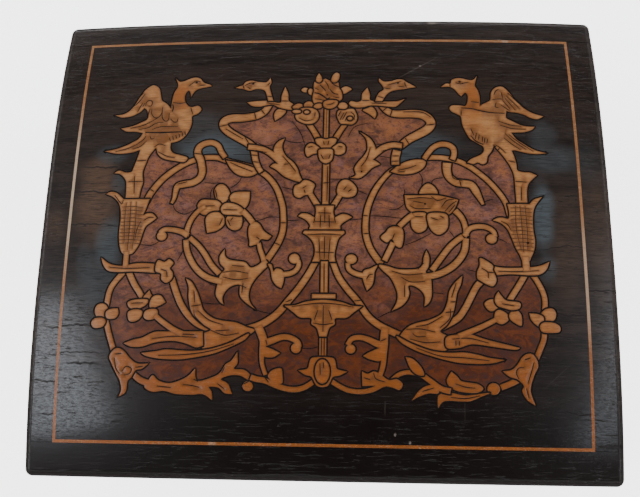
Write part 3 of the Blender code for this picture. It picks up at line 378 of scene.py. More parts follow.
RIGHT: list[Motif] = [
    ("outer_flower", [
    Figure([Vine([88.6-19j, 91-22.4j, 93.2-27j, 94-31j, 93.6-36j, 93.2-43.6j, 92.8-47j, 91.2-51j, 89.4-55j],
      (2.2,))]),
    Figure([Leaf([92-36.4j, 94-34.4j, 97-34j, 98.4-36j, 97.6-38.8j, 94.6-39.6j, 92.4-38.8j])], tone=0.1),
    Figure([Leaf([Tip(87.2-36.2j), 90.6-36.4j, 93-37.6j, 93-39.8j, 91.4-41.8j, 89.6-40.8j, 87.8-38.8j])],
      tone=0.15),
    Figure([Leaf([91.4-41.6j, 93-39.9j, 97.4-40j, 99.8-41.6j, 99.4-43.8j, 95-44.2j, 92.2-43.8j])])]),
    ("scroll", [
    Figure([Vine([80.8+6j, 79.4+11.6j, 76.4+16.6j, 72.2+21.6j, 68+25.4j, 64+28.4j, 59+30.9j, 53.6+32.1j, 48+32.4j,
      44+31.8j], (2.2,))]),
    Figure([Vine([33+27.4j, 30+25.8j, 26+21.4j, 22.6+16j, 19.9+9j, 19+3j, 19.1-3j, 20.9-9j, 24.2-14.2j, 26-16j],
      (1.8, 2.4, 2.5, 2.6))], [(20+5.2j, 17.8+5.4j), (20.6-2.6j, 18-2.8j)]),
    Figure([Leaf([Tip(29.8+25.6j), 33.6+28.8j, 38+30.8j, 42+31.4j, 45.2+30.6j, 44.4+27.6j, 41+25.2j, 36+24.3j,
      32+24.8j])], [(33+26.2j, 38+27.4j, 41+28.6j), (33+25.4j, 36+25.6j)], tone=0.1),
    Figure([Vine([44.6+31.6j, 46.4+34.4j, 48.6+37j, 51.6+38.6j, 55+38.5j, 57.4+36.8j, 57.8+34j, 57+31.4j],
      (2.2, 2.4, 2.6, 2.4))]),
    Figure([Vine([54.6+29.8j, 54.4+26.6j, 55.2+23.4j, 58+20.9j, 61.6+20.3j, 64.8+19.6j, 66.8+16.6j, 69.6+10.8j],
      (3.8, 3.2, 3.2, 3.2, 1.2))], [(56.4+24.4j, 57.4+22.6j, 61+21.6j), (59.8+22j, 60.4+18.8j)])]),
    ("flower", [
    Figure([Vine([39.4+6j, 36.4+3.6j, 33.4+0.6j], (2.4, 2.4))], joined=True),
    Figure([Vine([57.4+8j, 60+5j, 61.4+1.6j, 62-3.4j], (2.6, 2.2, 2.2))], joined=True),
    Figure([Leaf([42.6+15j, 43.2+18j, 46+20.2j, 49+18.4j, 49.8+15j])], tone=0.15),
    Figure([Leaf([Tip(35.8+14.7j), 42+14.7j, 50+14.8j, Tip(59+12.8j), 57.4+9j, 54.6+6j, 50+6j, 45+6.4j, 39.6+6.8j,
      37+8.6j, 36.2+11j])], [(37+13j, 43+13.6j, 48+13.2j), (47.4+14.2j, 50+12.4j, 53.8+13.6j), (51.6+9.4j,
      54+12.4j, 57+13j), (53.2+7.6j, 55.8+10.6j, 58.2+12.2j), (38+10j, 41+8.6j, 47+8.8j), (39.4+12j, 44+11.2j),
      Disc(44.6, 10.8, 0.5, 0.4), (54.8+7.2j, 57.6+10.6j)]),
    Figure([Leaf([38.4+4.4j, 38.8+0j, 41.4-2.2j, 44.6-0.8j, 45.4+2.4j, 44.8+6.6j, 39.4+6.6j])],
      [(39.8+5j, 43.6+5j)], tone=0.15),
    Figure([Leaf([46+6.4j, 45.8+2j, 47.4-1.4j, 50.4-3j, 53.6-0.8j, 54.4+2.6j, 53.4+6.4j])], [(47+4.6j, 50+3.6j),
      (51+5.4j, 52.6+4.4j)], tone=0.1),
    Figure([Leaf([25.4-4.4j, 27.6-2j, 29-0.2j, 31.4+0.6j, 34.6-0.4j, 35.2-4j, 34.2-8.6j, 31.8-8j, 30.2-5j,
      28-6.6j]), Vine([30.8-6.6j, 29.2-10j, 27-14.6j], (2.4, 2.4))], [(30.4-5j, 31.4-2.6j)], tone=0.1),
    Figure([Vine([61.8-4.4j, 60.9-10j, 58-14.6j, 54-18j, 49-20.4j, 43-21.6j], (2.6, 2.8, 2.6))], joined=True),
    Figure([Vine([60.4-3.6j, 57.6-5.6j, 54.6-8.4j, 51.2-12.8j, 47-18.6j], (2.4, 2.4))], joined=True),
    Figure([Vine([61-3.6j, 63.4-0.2j, 67+0.9j, 70.8+0.5j, 73.6-1.4j, 74.2-3.6j], (2.2, 2.2, 2)),
      Disc(72.6, -4.5, 2.3, 2.1)], joined=True)]),
    ("lower_scroll", [
    Figure([Leaf([Tip(44.8-9.8j), 46-13j, 45.6-17j, 44.4-19.4j, 46.4-21.8j, 46.8-26j, 46.6-30j, 45.4-32.6j,
      Tip(43.6-34j), 43.8-30j, 42.4-27.4j, 39.4-25.4j, 37-25.4j, 37.4-28.4j, 36.4-31.4j, 34-34j, Tip(30-36j),
      32-32.4j, 32.4-29j, 31.4-25.6j, 29.4-21.8j, 26-18.6j, 24.6-16.4j, 28-16.8j, 33-18.2j, 40.6-18j, 43-16.2j,
      43.6-13j])], [(30-19j, 36-20.6j, 43-20j), (34-21.6j, 38-23.6j, 44-23.4j), (35.4-25j, 35.4-30j),
      (41-18.2j, 43.6-15.4j)], tone=0.1),
    Figure([Leaf([24-16.6j, 22.8-19.6j, 22.6-22j, 21.8-25.2j, Tip(19.6-27.6j), 18.4-24.4j, 17.6-21j, 18.4-18.8j,
      20.8-18j]), Vine([18.4-21.2j, 14.6-20.2j, 12-18.4j, 11.4-15.6j], (2.2, 2)), Disc(12.9, -14, 2.4, 2.1)],
      [(19.4-22.6j, 20.6-20.8j, 22-20.6j)], tone=0.05),
    Figure([Vine([5-15.2j, 7.6-21.6j, 11.4-27j, 15.8-32.2j, 19.8-38j, 24-41.6j, 29.4-44.4j, 35-46.8j],
      (2.4, 2.6, 2.8))], [(14-32j, 17.4-31.6j)])]),
    ("inner_flower", [
    Figure([Vine([86.4-19.6j, 83.2-24.8j, 80.4-29j, 78.6-32j], (2.4, 2.4))]),
    Figure([Vine([73.4-39j, 68-41.8j, 62-44.4j, 57.6-46.2j], (2, 2.4))], joined=True),
    Figure([Leaf([68.6-32.4j, 71-30.6j, 73.6-31j, 74.8-33.4j, 72-35.6j, 70-35j])], tone=0.1),
    Figure([Leaf([73-36j, 75-35j, 78-36.6j, 78.6-39j, 75.6-41j, 72.8-39.4j])], tone=0.15),
    Figure([Leaf([79-36.4j, 81.4-34.8j, 83.8-36.8j, 83.8-41.4j, 81-40.4j, 79-38.6j])]),
    Figure([Leaf([73-31.4j, 73.4-29j, Tip(74.6-27.2j), 76-29.2j, 78-31j, 83.4-31.8j, 83.2-34.2j, 80-35j,
      76.6-34.2j, 74.2-33.4j])], [(76-32.4j, 81-33.2j)], tone=0.1)]),
    ("lower_scroll", [
    Figure([Vine([69.6-21.4j, 65.8-25j, 63-30j, 60.3-35j, 56.8-39.2j, 48-44j], (2.6, 2.6))]),
    Figure([Leaf([Tip(59.8-20.6j), 56.6-23.6j, 54.2-27.2j, 53.2-32j, 51-36.6j, 46-39.4j, 40-41j, 36.4-42.8j,
      33.4-46.6j, 36-49.6j, 42-51.8j, 49-53.2j, 53.4-51j, 54-46.8j, 50-44.4j, 52.8-41.6j, 55.4-37j, 56.6-32j,
      57.4-28j, 59-24.4j])], [(54.4-35j, 54-39j, 50-42.8j), (36-43.6j, 42-43.4j, 48-44.6j), (52.4-36.4j, 56-36j),
      (44-46.4j, 40.4-46.6j, 38.6-45.2j), (57-24j, 55-30j), (37.4-47.6j, 44-49j, 50-48.6j), (54.6-32j, 57-31.8j),
      (51-38j, 45-41.4j, 40-42.4j)]),
    Figure([Leaf([53.2-46.2j, 60-45.2j, 63-45.4j, 66-46.4j, 70-47.6j, 76-49j, Tip(83-50.6j), 81-51.4j, 76-50.9j,
      70-50.1j, 63-49.4j, 58-50.9j, 53-51.2j, 52-48.6j])], [(55-47.4j, 62-47j, 70-48.8j), (56.4-48j, 56.4-50j),
      (57.8-48j, 57.8-50j)], tone=-0.1),
    Figure([Leaf([Tip(76.4-55.6j), 70-54.8j, 66-53.8j, 60-52.8j, 53-53j, 46-52.2j, 38-49.4j, 32-46.4j, 34-49.2j,
      40-52.4j, 46-54.4j, 52-56j, 58-57.1j, 66-57.4j, 72-56.9j])], [(70-56j, 60-55j, 50-54.4j, 40-51.2j)],
      tone=-0.1),
    Figure([Vine([27.2-43j, 26.8-47j, 26.6-52j, 26.4-58j, 25-63j], (3.2, 3.4, 2.2, 1.9)), Vine([26.2-50.4j,
      23.6-49.6j, 20.6-48.2j, 17-47.2j, 13.4-47.8j, 11.6-50.4j], (3, 2.2, 2)), Disc(12.9, -52, 2, 1.9),
      Leaf([25.6-51.6j, 21-53j, Tip(18-54.8j), 21-56.2j, 25.4-56.6j])], [(25.2-48.6j, 27.6-47.6j)], tone=-0.15,
      joined=True)]),
    ("stem", [
    Figure([Vine([86.6-12j, 86.9-18.4j], (3,))], joined=True),
    Figure([Leaf([71.6-16.6j, 77-17j, 84-16.9j, 90-16.4j, 93.4-15.6j, Tip(96.8-14j), 95.4-17.4j, 92.6-19.6j,
      88-20.1j, 80-19.8j, 72-20.2j])], [(75-18.6j, 84-18.6j, 92-18j)], tone=0.1),
    Figure([Leaf([67.3-13j, 67.2-16j, 66-19j, 66-21.8j, 67.2-22.8j, 70.4-24.6j, 72.6-25j, 74-22.8j, 73.7-20.6j,
      72.6-18j, 72.8-16.2j, 70-14j])], [(68-17.4j, 70.4-19j, 70.6-21.6j), (70.4-19j, 73-19.2j)], tone=0.15)]),
    ("bird", [
    Figure([Leaf([Tip(82.8+37j), 84.2+33j, 84.9+29.6j, 85.2+26.8j, 88+26j, 90.6+25.9j, Tip(93.6+24.6j),
      91.4+22.6j, 89.6+20.4j, 88.8+17j, Tip(88.7+11j), Tip(84+11j), 83.8+18j, 83.6+24j, 82.4+28j, 80.8+31j,
      78.4+34.6j, Tip(76+37.6j)]), Leaf([Tip(53+67.4j), 55.2+69.3j, 57.4+69.3j, 58+71.2j, 60.5+72.3j, 63+72.1j,
      66+71.3j, 68+71.6j, Tip(69.6+73.6j), 68.8+70.4j, 68.4+68.2j, 69.6+66j, 70.3+62.6j, 70.3+60j, Tip(70+57.6j),
      71.4+58.8j, 73.6+60j, 75+61.2j, 75.5+64.6j, 77+67j, 79.4+68.1j, 81.4+67.7j, 83.6+65.2j, 85.8+61.8j,
      88.6+58.6j, 91+56.2j, 94.4+54.4j, Tip(98.4+53.2j), 95.6+51.7j, 92.4+52.3j, 89.6+53.8j, 86+54.8j, 83.6+55j,
      Tip(82+55.6j), 81.6+53.4j, 81.8+51.8j, 84.4+50.4j, 87.6+48.7j, 90.6+48j, Tip(94.2+48j), 92.6+46.3j,
      89+45.1j, 85.4+44.9j, Tip(83.4+44.8j), 85.6+41.6j, 88+39.9j, 91.2+37.7j, 94.2+36.3j, Tip(98.4+35.2j),
      94.6+34.7j, 90.4+34.9j, 86.4+35.8j, 83.6+36.2j, 80.2+34j, 77.6+36.6j, Tip(75.4+38.4j), 74.3+35.6j,
      72.5+33.2j, 71.9+30.4j, 70+29.3j, 68+30.2j, 66+29.4j, Tip(63.4+30.2j), 65.2+31.9j, 69.2+33.8j, 70.9+35.8j,
      70.6+37.8j, 69.2+38.8j, 67+40.2j, 65.2+41.4j, 63.8+43.6j, 62.6+46.4j, 61.8+49j, 61.4+52.4j, 59.4+53.7j,
      57.2+55j, 56.5+56.7j, 57.4+57.9j, 59.6+58.2j, 62+58j, 63.6+57.8j, 64.7+60j, 64.9+63j, 64+64.6j, 63+63.8j,
      Tip(62+62.6j), 60.8+64j, 59.8+65.4j, 58.4+66.9j, 56.4+67.6j])], [Disc(61.6, 70.3, 0.6, 0.5), (59.8+69.8j,
      62+69.2j, 64+69.8j, 65.6+70j), (57.2+69.2j, 57.2+67.4j), (76+61.2j, 78.4+61.6j, 81+61.6j),
      (80.2+65j, 80.6+62j), (80.4+61j, 83.8+56.4j), (81.6+62j, 86+56j), (82.2+63.4j, 88+56.6j),
      (83+64.8j, 90+57j), (84+65j, 88+60.4j, 92.6+55.6j), (79.6+58.6j, 83.6+55.4j), (77.6+59.8j, 77+57.6j,
      78.6+57j), (79+66.6j, 77.6+65.6j, 76.8+63.6j), line(61.8+56.8j, 66.6+56.4j, 70+55.5j, 75+54.6j, 81+54.3j,
      width=0.6), (61.7+55.4j, 61.5+53j), (88+48j, 83+48.6j, 78+50.4j), (90+46.6j, 84+46.8j, 78.6+48.4j),
      (65.6+46.6j, 66.8+43.2j), (68+44.4j, 67.4+41.4j), (69.2+43.6j, 68.8+41j), (70.6+42.6j, 70.4+40j),
      (71.6+42j, 71.4+39.6j), (72.8+41.6j, 72.4+39.4j), line(65.4+43j, 67.6+40.4j, 70.8+38.8j, width=0.6),
      (75+38.8j, 76.4+37.8j), (76.8+35.8j, 77.8+37.2j), (80.6+44.4j, 84+40.8j, 89.4+36.8j), (80+42.2j, 83.4+39.2j,
      87+36.6j), (82.4+43.8j, 86+40.6j, 92.6+36j), (75.8+39j, 78+37.4j, 80.4+35j), (66.4+60j, 69.8+59.6j),
      (81.4+31.2j, 84.4+30.6j), (84+21.6j, 88.8+21.4j), (86.4+19j, 86.2+13j)], tone=0.15)]),
    ("stem", [
    Figure([Leaf([Tip(80+11.2j), Tip(89.6+11.4j), 91.8+13.6j, Tip(95.4+14.8j), 93.2+12.2j, 91.6+9.6j, 90.8+6j,
      90.6+0j, 91.1-5j, 90.6-9j, 89-12.6j, 88.2-14j, 85.4-14j, 84.4-11.6j, 82.6-8j, 81.2-4j, 79.6-0.2j, 77+2.4j,
      Tip(73.4+3.8j), 75.6+4.9j, 78+5j, 80.2+4.6j, 80.6+7.6j])], [*rungs(81.2, 90.4,
      (9.4, 7.7, 6, 4.3, 2.6, 0.9, -0.8, -2.5, -4.2, -5.9, -7.6, -9.3)), line(83.4+10.4j, 83.4+0j, 85-9j,
      width=0.24), line(85.4+10.6j, 85.8+2j, 86-10j, width=0.24), line(87.6+10.6j, 88+0j, 87.8-9j, width=0.24),
      (77+3.4j, 79.6+2j, 81-0.4j), Disc(88, -6, 0.6, 0.5)], tone=0.1)]),
    ("serpent", [
    Figure([Vine([24+59.6j, 26+58j, 27.8+55.8j, 30.4+54j, 34+53.5j, 39+53.7j, 44+53.2j, 47+51.2j, 48+48.6j,
      46.2+45.8j, 42+43.2j, 38+40.9j, 34.6+38j, 31.4+35.6j], (2.4, 3, 3.6, 4, 4, 3.8, 3.4, 3))],
      [(29.2+57.4j, 26.4+54.8j), (31+56j, 29.8+52.2j), (50+48.6j, 45.8+48j), (36.4+41.6j, 38.2+38.6j), (36+54.6j,
      44+54.4j, 48+52j), (33.4+38.6j, 35+35.8j)], tone=0.1),
    Figure([Vine([32.8+35.6j, 32+32j, 32+28.8j], (3.6, 3.4)), Vine([35+37.8j, 31+38.2j, 27+37j, 23.8+34.6j,
      20.6+31.6j], (2.4, 2.8, 2.8)), Leaf([Tip(16.4+44.6j), 19+41.4j, 19.7+38j, 19.5+35.4j, 17.8+32.6j, 15.6+30j,
      14+27j, 14.6+24j, Tip(12.2+22.6j), 16+22.4j, 18.6+24j, 21.8+27.2j, Tip(25.4+29j), 23.4+30.6j, 21.6+31.6j,
      22.6+34j, 23.4+36.2j, 22.6+38.8j, 20.6+41.8j])], [Disc(17.2, 25.6, 0.4, 0.4), (21+37j, 19.4+31.6j, 17+28j),
      (30+36.4j, 26+35.2j), (30.6+33j, 33.6+33j), (30.4+30.4j, 33.6+30.6j)], tone=0.15),
    Figure([Leaf([19.6+56.4j, 21.6+57.2j, 23.2+55.6j, 23.8+53.4j, Tip(23+51.2j), 20.6+53.4j, 17.6+55.4j])],
      tone=0.05),
    Figure([Leaf([Tip(36.6+61.2j), 34+60.3j, 31+59.9j, 26+59.9j, 22+60.2j, 20.8+61j, 20.9+63.4j, Tip(19.8+67.2j),
      17.4+64j, 17+60.6j, 15+59.6j, 12.4+60.2j, 11.4+58.8j, 12.6+57.4j, 15+56.8j, 18+57j, 21+57.8j, 25+57.7j,
      30+57.1j, 32.4+57.2j, 34.6+59j])], [(17.2+60.4j, 20.6+60.4j), (21.8+59j, 28+58.8j)], tone=0.1),
    Figure([Leaf([Tip(41.8+67.3j), 39.6+68.8j, 37.6+70j, 36+71.3j, 33.4+71.5j, 31+70.7j, 28.6+70.3j, 27+70.5j,
      Tip(25+72j), 25+70.4j, 26+69j, 26.8+67.6j, 27+66j, 25+64.4j, 23.8+62j, Tip(23.2+60j), Tip(26.4+60j),
      27.4+61.8j, 28.8+63.8j, 30.8+65.2j, 33+65.8j, 36+66.2j, 38.6+66.8j])], [Disc(33.6, 69.5, 0.5, 0.45),
      (29+68.4j, 32+69.4j, 34.8+70.2j), (36.6+69.8j, 37.4+67j), (24.4+62.6j, 27.2+61.6j), (27+67j, 30+66.4j),
      (34+67.6j, 36.6+67.4j)], tone=0.2)]),
    ("border_vine", [
    Figure([Vine([83-63j, 79-65j, 74.6-66.8j], (2.4, 2.4)), Disc(71.6, -67.4, 2.6, 2.4)], tone=-0.2),
    Figure([Leaf([70-69j, 66-70.8j, 62-72.4j, 58-72.6j, 53-72.4j, 50.6-73j, Tip(48.8-75.4j), 48.6-71.8j,
      49.6-69.8j, 54-69.2j, 60-70.2j, 66-69.4j])], [(54-71j, 60-71.4j, 66-70.2j)], tone=-0.3),
    Figure([Leaf([52.4-64.4j, 53.2-62.4j, Tip(54.4-60.6j), 56.8-62.6j, 58.4-64.4j, 62-65j, 65.4-65.6j, 67.4-67.4j,
      64.8-69j, 60-69j, 56-68.2j, 53.4-66.6j])], [(56-65.6j, 60-66.8j, 64-67.2j)], tone=-0.2),
    Figure([Vine([30-64.4j, 33-62.1j, 37-61.2j, 42-62.2j, 45.4-64.4j, 50-67.6j, 54-68.6j], (1.8, 1.8, 2.2, 2.4)),
      Leaf([48.6-66j, 44-66.6j, 41-68.6j, Tip(38-72.6j), 41.4-70.8j, 45-69.6j, 49-69.4j])],
      [(47-67.4j, 42.4-68.8j)], tone=-0.3),
    Figure([Leaf([Tip(35.6-55j), 38.4-55.6j, 41-57.8j, 42.8-60.4j, 43-62.4j, 40-62j, 37.4-59.4j])], tone=-0.2),
    Figure([Vine([4-64.6j, 9-67.6j, 13-69j, 17.6-69.3j, 22-68.4j, 26-66.4j, 30-65.4j], (2, 1.9, 2.2)),
      Leaf([Tip(17.6-61j), 20-62j, 22.6-61j, 25.4-62.2j, 28.6-64.4j, 32-64j, 34.4-66j, 33-68.4j, 30-67.4j,
      25-66.8j, Tip(17.8-67j)])], [(22.4-61.6j, 23.4-64j, 27-65.2j), (18.4-63.6j, 21-64.4j)], tone=-0.3),
    Figure([Leaf([83.6-54.4j, 85.6-53j, 87.8-53j, 89.6-55.2j, 90.1-58j, 88.6-61.2j, 87.2-65j, 86.8-68.6j,
      Tip(88.6-73.8j), 85.2-71.6j, 83.2-68j, 84-66j, 81.4-63.4j, 78.2-62.4j, Tip(75.4-60.2j), 79-59.6j,
      81.4-57.6j])], [(84.4-58.6j, 82-58.8j, 81-60.8j, 82-63.2j), (88.4-56.4j, 87-61j, 85.6-65j),
      (84.6-55.4j, 87-54.6j), (85-67j, 86-71j)], tone=-0.1)]),
]

MIDDLE: list[Motif] = [
    ("candelabrum", [
    Figure([Vine([1.5+8.6j, 1.6+30.6j], (2.7,))], [(2.2+12j, 2.3+28j), (0.4+20.2j, 3+20.4j)]),
    Figure([Vine([-1.2+8.8j, -3.4+12.4j, -5.4+15.6j], (2.6, 2.2)), Leaf([-12.5+16.6j, -11.9+19j, -9.8+19.9j,
      -8+21.6j, -5.6+21.2j, -3.2+19.4j, -3.9+17.2j, -4.4+15j, -7.6+14.5j, -9.8+13.3j, -11.9+14.2j])],
      [(-8.6+17.8j, -7+18.8j), (-7.4+15.6j, -7.8+17j)], tone=0.1),
    Figure([Vine([4.4+8.8j, 6.4+12j, 8+14.8j], (2.4, 2.2)), Leaf([6.4+16.8j, 7.2+19.8j, 9+21.6j, 11.4+21.6j,
      13.6+20j, 15.2+17.4j, 14.4+14.6j, 12+13.6j, 9+13.8j, 7+14.8j])], [(9.4+17j, 10.6+18.6j),
      (11.4+16.2j, 12.8+17.4j)], tone=0.1),
    Figure([Vine([1.3+40.6j, 1.4+58j], (1.9,))], [line(1.3+42j, 1.4+56j, width=0.2)]),
    Figure([Vine([-1.6+40j, -4.2+45j, -7.2+49.6j], (2.6, 2.2))]),
    Figure([Vine([4.8+40j, 7.6+45j, 10.6+49.6j], (2.4, 2))]),
    Figure([Leaf([-3.4+41j, -2.6+38.6j, -0.6+36.6j, 3.2+36.6j, 5.2+38.6j, 6+41j, 3.6+41.6j, 1.3+41j, -1+41.6j])],
      [(0.6+38.4j, 0.2+40j), (2.2+38.4j, 2.6+40.2j)], tone=0.1),
    Figure([Leaf([-7.9+35.6j, -7.1+38.2j, -5+39.2j, -2.8+38j, -1.2+36.3j, -2.2+34.4j, -4.4+33.8j, -6.8+32.6j])],
      [(-6.6+37j, -4.6+37.6j)], tone=0.15),
    Figure([Leaf([10+36j, 9.7+38j, 7.6+39.2j, 5.4+38j, 3.8+36.3j, 4.6+34.4j, 7+33.4j, 9.5+34.4j])],
      [(8.6+37.2j, 6.8+37.6j)], tone=0.15),
    Figure([Leaf([-2+34.6j, -1.6+36j, 1.3+36.4j, 4.2+36j, 4.6+34j, 4+31j, 1.4+29.4j, -1.2+31j])],
      [(-0.8+33.6j, 0.4+31.4j), (3.4+33.8j, 2.6+31.6j)], tone=0.1),
    Figure([Leaf([-14.2+57.2j, -12+58.9j, -10+58.7j, -9.3+57.2j, -11+56.5j, -13+56.2j])], tone=0.1),
    Figure([Disc(-6.8, 58, 2.2, 2.1)], tone=0.1),
    Figure([Leaf([-12.6+53.4j, -12.2+51j, -10+49.4j, -7+48.5j, -4+49.2j, -2.3+51.4j, -2.3+54j, -4+56.2j,
      -7.4+56.8j, -10.6+56.2j])], [(-11+51.6j, -8+50.2j, -4.6+50.8j), (-4+52.4j, -3.8+54.4j)], tone=0.15),
    Figure([Disc(-7.6, 54.6, 1.2, 0.85)], tone=0.6),
    Figure([Leaf([-14.2+55j, -13+55.8j, -10.8+55.6j, -10.2+54.9j, -10.8+54.2j, -13+54j])], tone=0.3),
    Figure([Leaf([6.4+57.4j, 7.4+59.2j, 9.4+59.4j, 10.8+58j, 10.2+56.2j, 8+55.8j])]),
    Figure([Leaf([6+53j, 6.8+50.4j, 7.8+48.7j, 10+48.5j, 13+48.3j, 14.8+50j, 15.1+52.6j, 14.4+54.6j, 13.6+56j,
      11.4+56.2j, 9.4+55.4j, 6.8+55.4j])], [(7.4+50.6j, 9.2+54.2j), (8.6+50.8j, 10.4+54.6j), (6.6+52.4j, 7.8+55j),
      (12.2+54.6j, 13.8+53j, 13.8+50.6j), (9.8+50.2j, 10.6+52.4j)], tone=0.15),
    Figure([Disc(11.9, 51.3, 1.1, 0.9)], tone=0.5)]),
    ("rose", [
    Figure([Leaf([-10.4+66j, -9.2+67.2j, -7.6+67j, -6.9+66j, -7.4+64.9j, -9.2+64.8j])], tone=0.5),
    Figure([Leaf([-7.3+65.6j, -6.4+66.8j, -5.2+66.2j, -4.6+64.4j, -5.4+63.2j, -6.8+63.8j])], tone=0.5),
    Figure([Leaf([7.2+65.6j, 8.4+67.2j, 10.4+67.8j, 12.6+66.4j, 11.4+65.2j, 9.4+63.9j, 7.8+64.4j])], tone=0.4),
    Figure([Leaf([-4+58.8j, -5+60.6j, -5.1+63j, -4.6+65.6j, -4.8+68j, -4.4+70.4j, -2.6+70.8j, -0.6+71.4j, 0.6+72j,
      2.2+71j, 4.4+70.8j, 6+70.6j, 6.7+69j, 6.9+67j, 8+64.8j, 8.3+61.6j, 6.6+60j, 3.4+60.4j, 0.4+59.4j,
      -1.4+59j])], [line(-4.4+64.6j, -2+63.9j, 0+62.5j, 1.4+61.4j, 2.8+61.9j, width=0.75),
      Disc(1.5, 63.4, 0.45, 0.35), line(-2+68.8j, -0.4+67j, 0.8+65.4j, width=0.6), line(2.6+66.4j, 4.4+64.2j,
      6.4+63.6j, width=0.55), line(3.4+69.6j, 5+68.4j, 6.6+67.6j, width=0.5), (-4+61.4j, -1.6+61j, 0.4+60.4j),
      (0.4+70.4j, 1.6+68.6j, 2.2+66.4j), (4+62.4j, 6.8+61.8j), (-4.2+67j, -2.4+66j)], tone=-0.1),
    Figure([Leaf([Tip(-2.5+75j), -3.7+72.6j, -3.6+70.6j, -2.2+69.9j, -1.1+71j, -1.3+73j])], tone=0.2),
    Figure([Leaf([3.2+71.2j, 3.9+73.8j, 5.4+75.2j, 6.9+74.4j, 6.8+72j, 5.6+70.2j, 4+70j])], tone=0.2),
    Figure([Leaf([-4.6+57.4j, -3.4+58.7j, -1.4+58.9j, -0.4+57.9j, -1.4+56.6j, -3.4+56.4j])], tone=0.1),
    Figure([Leaf([-0.2+59.4j, 0+57.4j, 2+56.2j, 4.4+56.6j, 6.2+58.4j, 6.2+60.2j, 3.4+60.8j, 1+60.4j])],
      [(1.4+58.2j, 3.4+58.6j, 4.8+59.4j)], tone=-0.05)]),
    ("candelabrum", [
    Figure([Leaf([Tip(-10.2+5j), -8.8+6.2j, -6+6.1j, Tip(-2.9+4.4j), -2.5+7j, Tip(-2.8+9.8j), Tip(5.4+9.8j), 5+7j,
      Tip(5.6+4.4j), 8.6+6j, 11+5.8j, Tip(13.2+4.6j), 10.4+2.8j, 8.2+1j, 7-1.6j, -4.4-1.6j, -5+1j, -7+3.4j])],
      [(-2.8+4.6j, -3.4+2j), (5.5+4.6j, 6+2j), (-1.4+6.6j, 4+6.4j), (1.3+9j, 1.4+2j), (-3+2.6j, 5.6+2.4j),
      (-0.4+5.6j, -0.6+0j), (3.2+5.6j, 3.4+0j)], tone=0.05),
    Figure([Leaf([Tip(-8-2.6j), Tip(-7.4-1.5j), Tip(9.8-1.5j), Tip(10-2.6j), 7.6-4.8j, 6.5-8j, 5.8-12j,
      Tip(6.2-15.2j), Tip(-3.8-15.2j), -2.8-12j, -2.8-9j, -3.8-6.2j, -5.8-4j])], [(-6.4-3.4j, 1.4-3j, 8.4-3.4j),
      (-1-5j, -0.4-14j), (3.8-5j, 3.2-14j), (1.4-4j, 1.4-14j), (-2.4-11j, 5.4-11.2j)], tone=0.05),
    Figure([Vine([1.5-15j, 1.5-29.4j], (3,))], [(1.4-16j, 1.5-28.4j)]),
    Figure([Leaf([Tip(-3.6-29.1j), Tip(6.4-29.1j), Tip(6.4-31j), Tip(-3.6-31j)])], tone=0.1),
    Figure([Vine([1.3-45.6j, 1.3-56j], (2.9,))], [(0.7-47.4j, 0.7-55j), (1.9-47.4j, 1.9-55j)], tone=-0.1),
    Figure([Leaf([Tip(-15-34.2j), -10.6-33.9j, -6-32.4j, 1.3-31.6j, 8.6-32.4j, 13.2-33.9j, Tip(17.6-34.2j),
      14-36.9j, 11-39.1j, 6.4-39.4j, 6.2-41.8j, 4-43.4j, Tip(2.8-47j), Tip(-0.2-47j), -1.4-43.4j, -3.6-41.8j,
      -3.8-39.4j, -8.4-39.1j, -11.4-36.9j])], [(-12-34.6j, -6-33.6j, 1.3-33j, 8.6-33.6j, 14-34.6j),
      (-2.4-40j, -1-36j), (5-40j, 3.6-36j), (-2.8-41.4j, 1.3-42j, 5.4-41.4j), (1.3-34j, 1.3-45j)]),
    Figure([Leaf([-3.2-55.8j, 1.3-55.4j, 5.8-55.8j, 6.8-58.2j, 7.4-60.2j, Tip(11.6-61.3j), 8.4-62.9j, 5.6-63.6j,
      3.4-67.2j, -0.8-67.2j, -3.2-63.6j, -5.8-62.8j, Tip(-8.8-61j), -5-60.2j, -4.3-58.2j])], tone=-0.15),
    Figure([Disc(1.2, -61.3, 3.1, 5)], [(0.2-58j, 0.4-62.6j), (1.6-57.6j, 1.8-60j)], tone=-0.1)]),
]

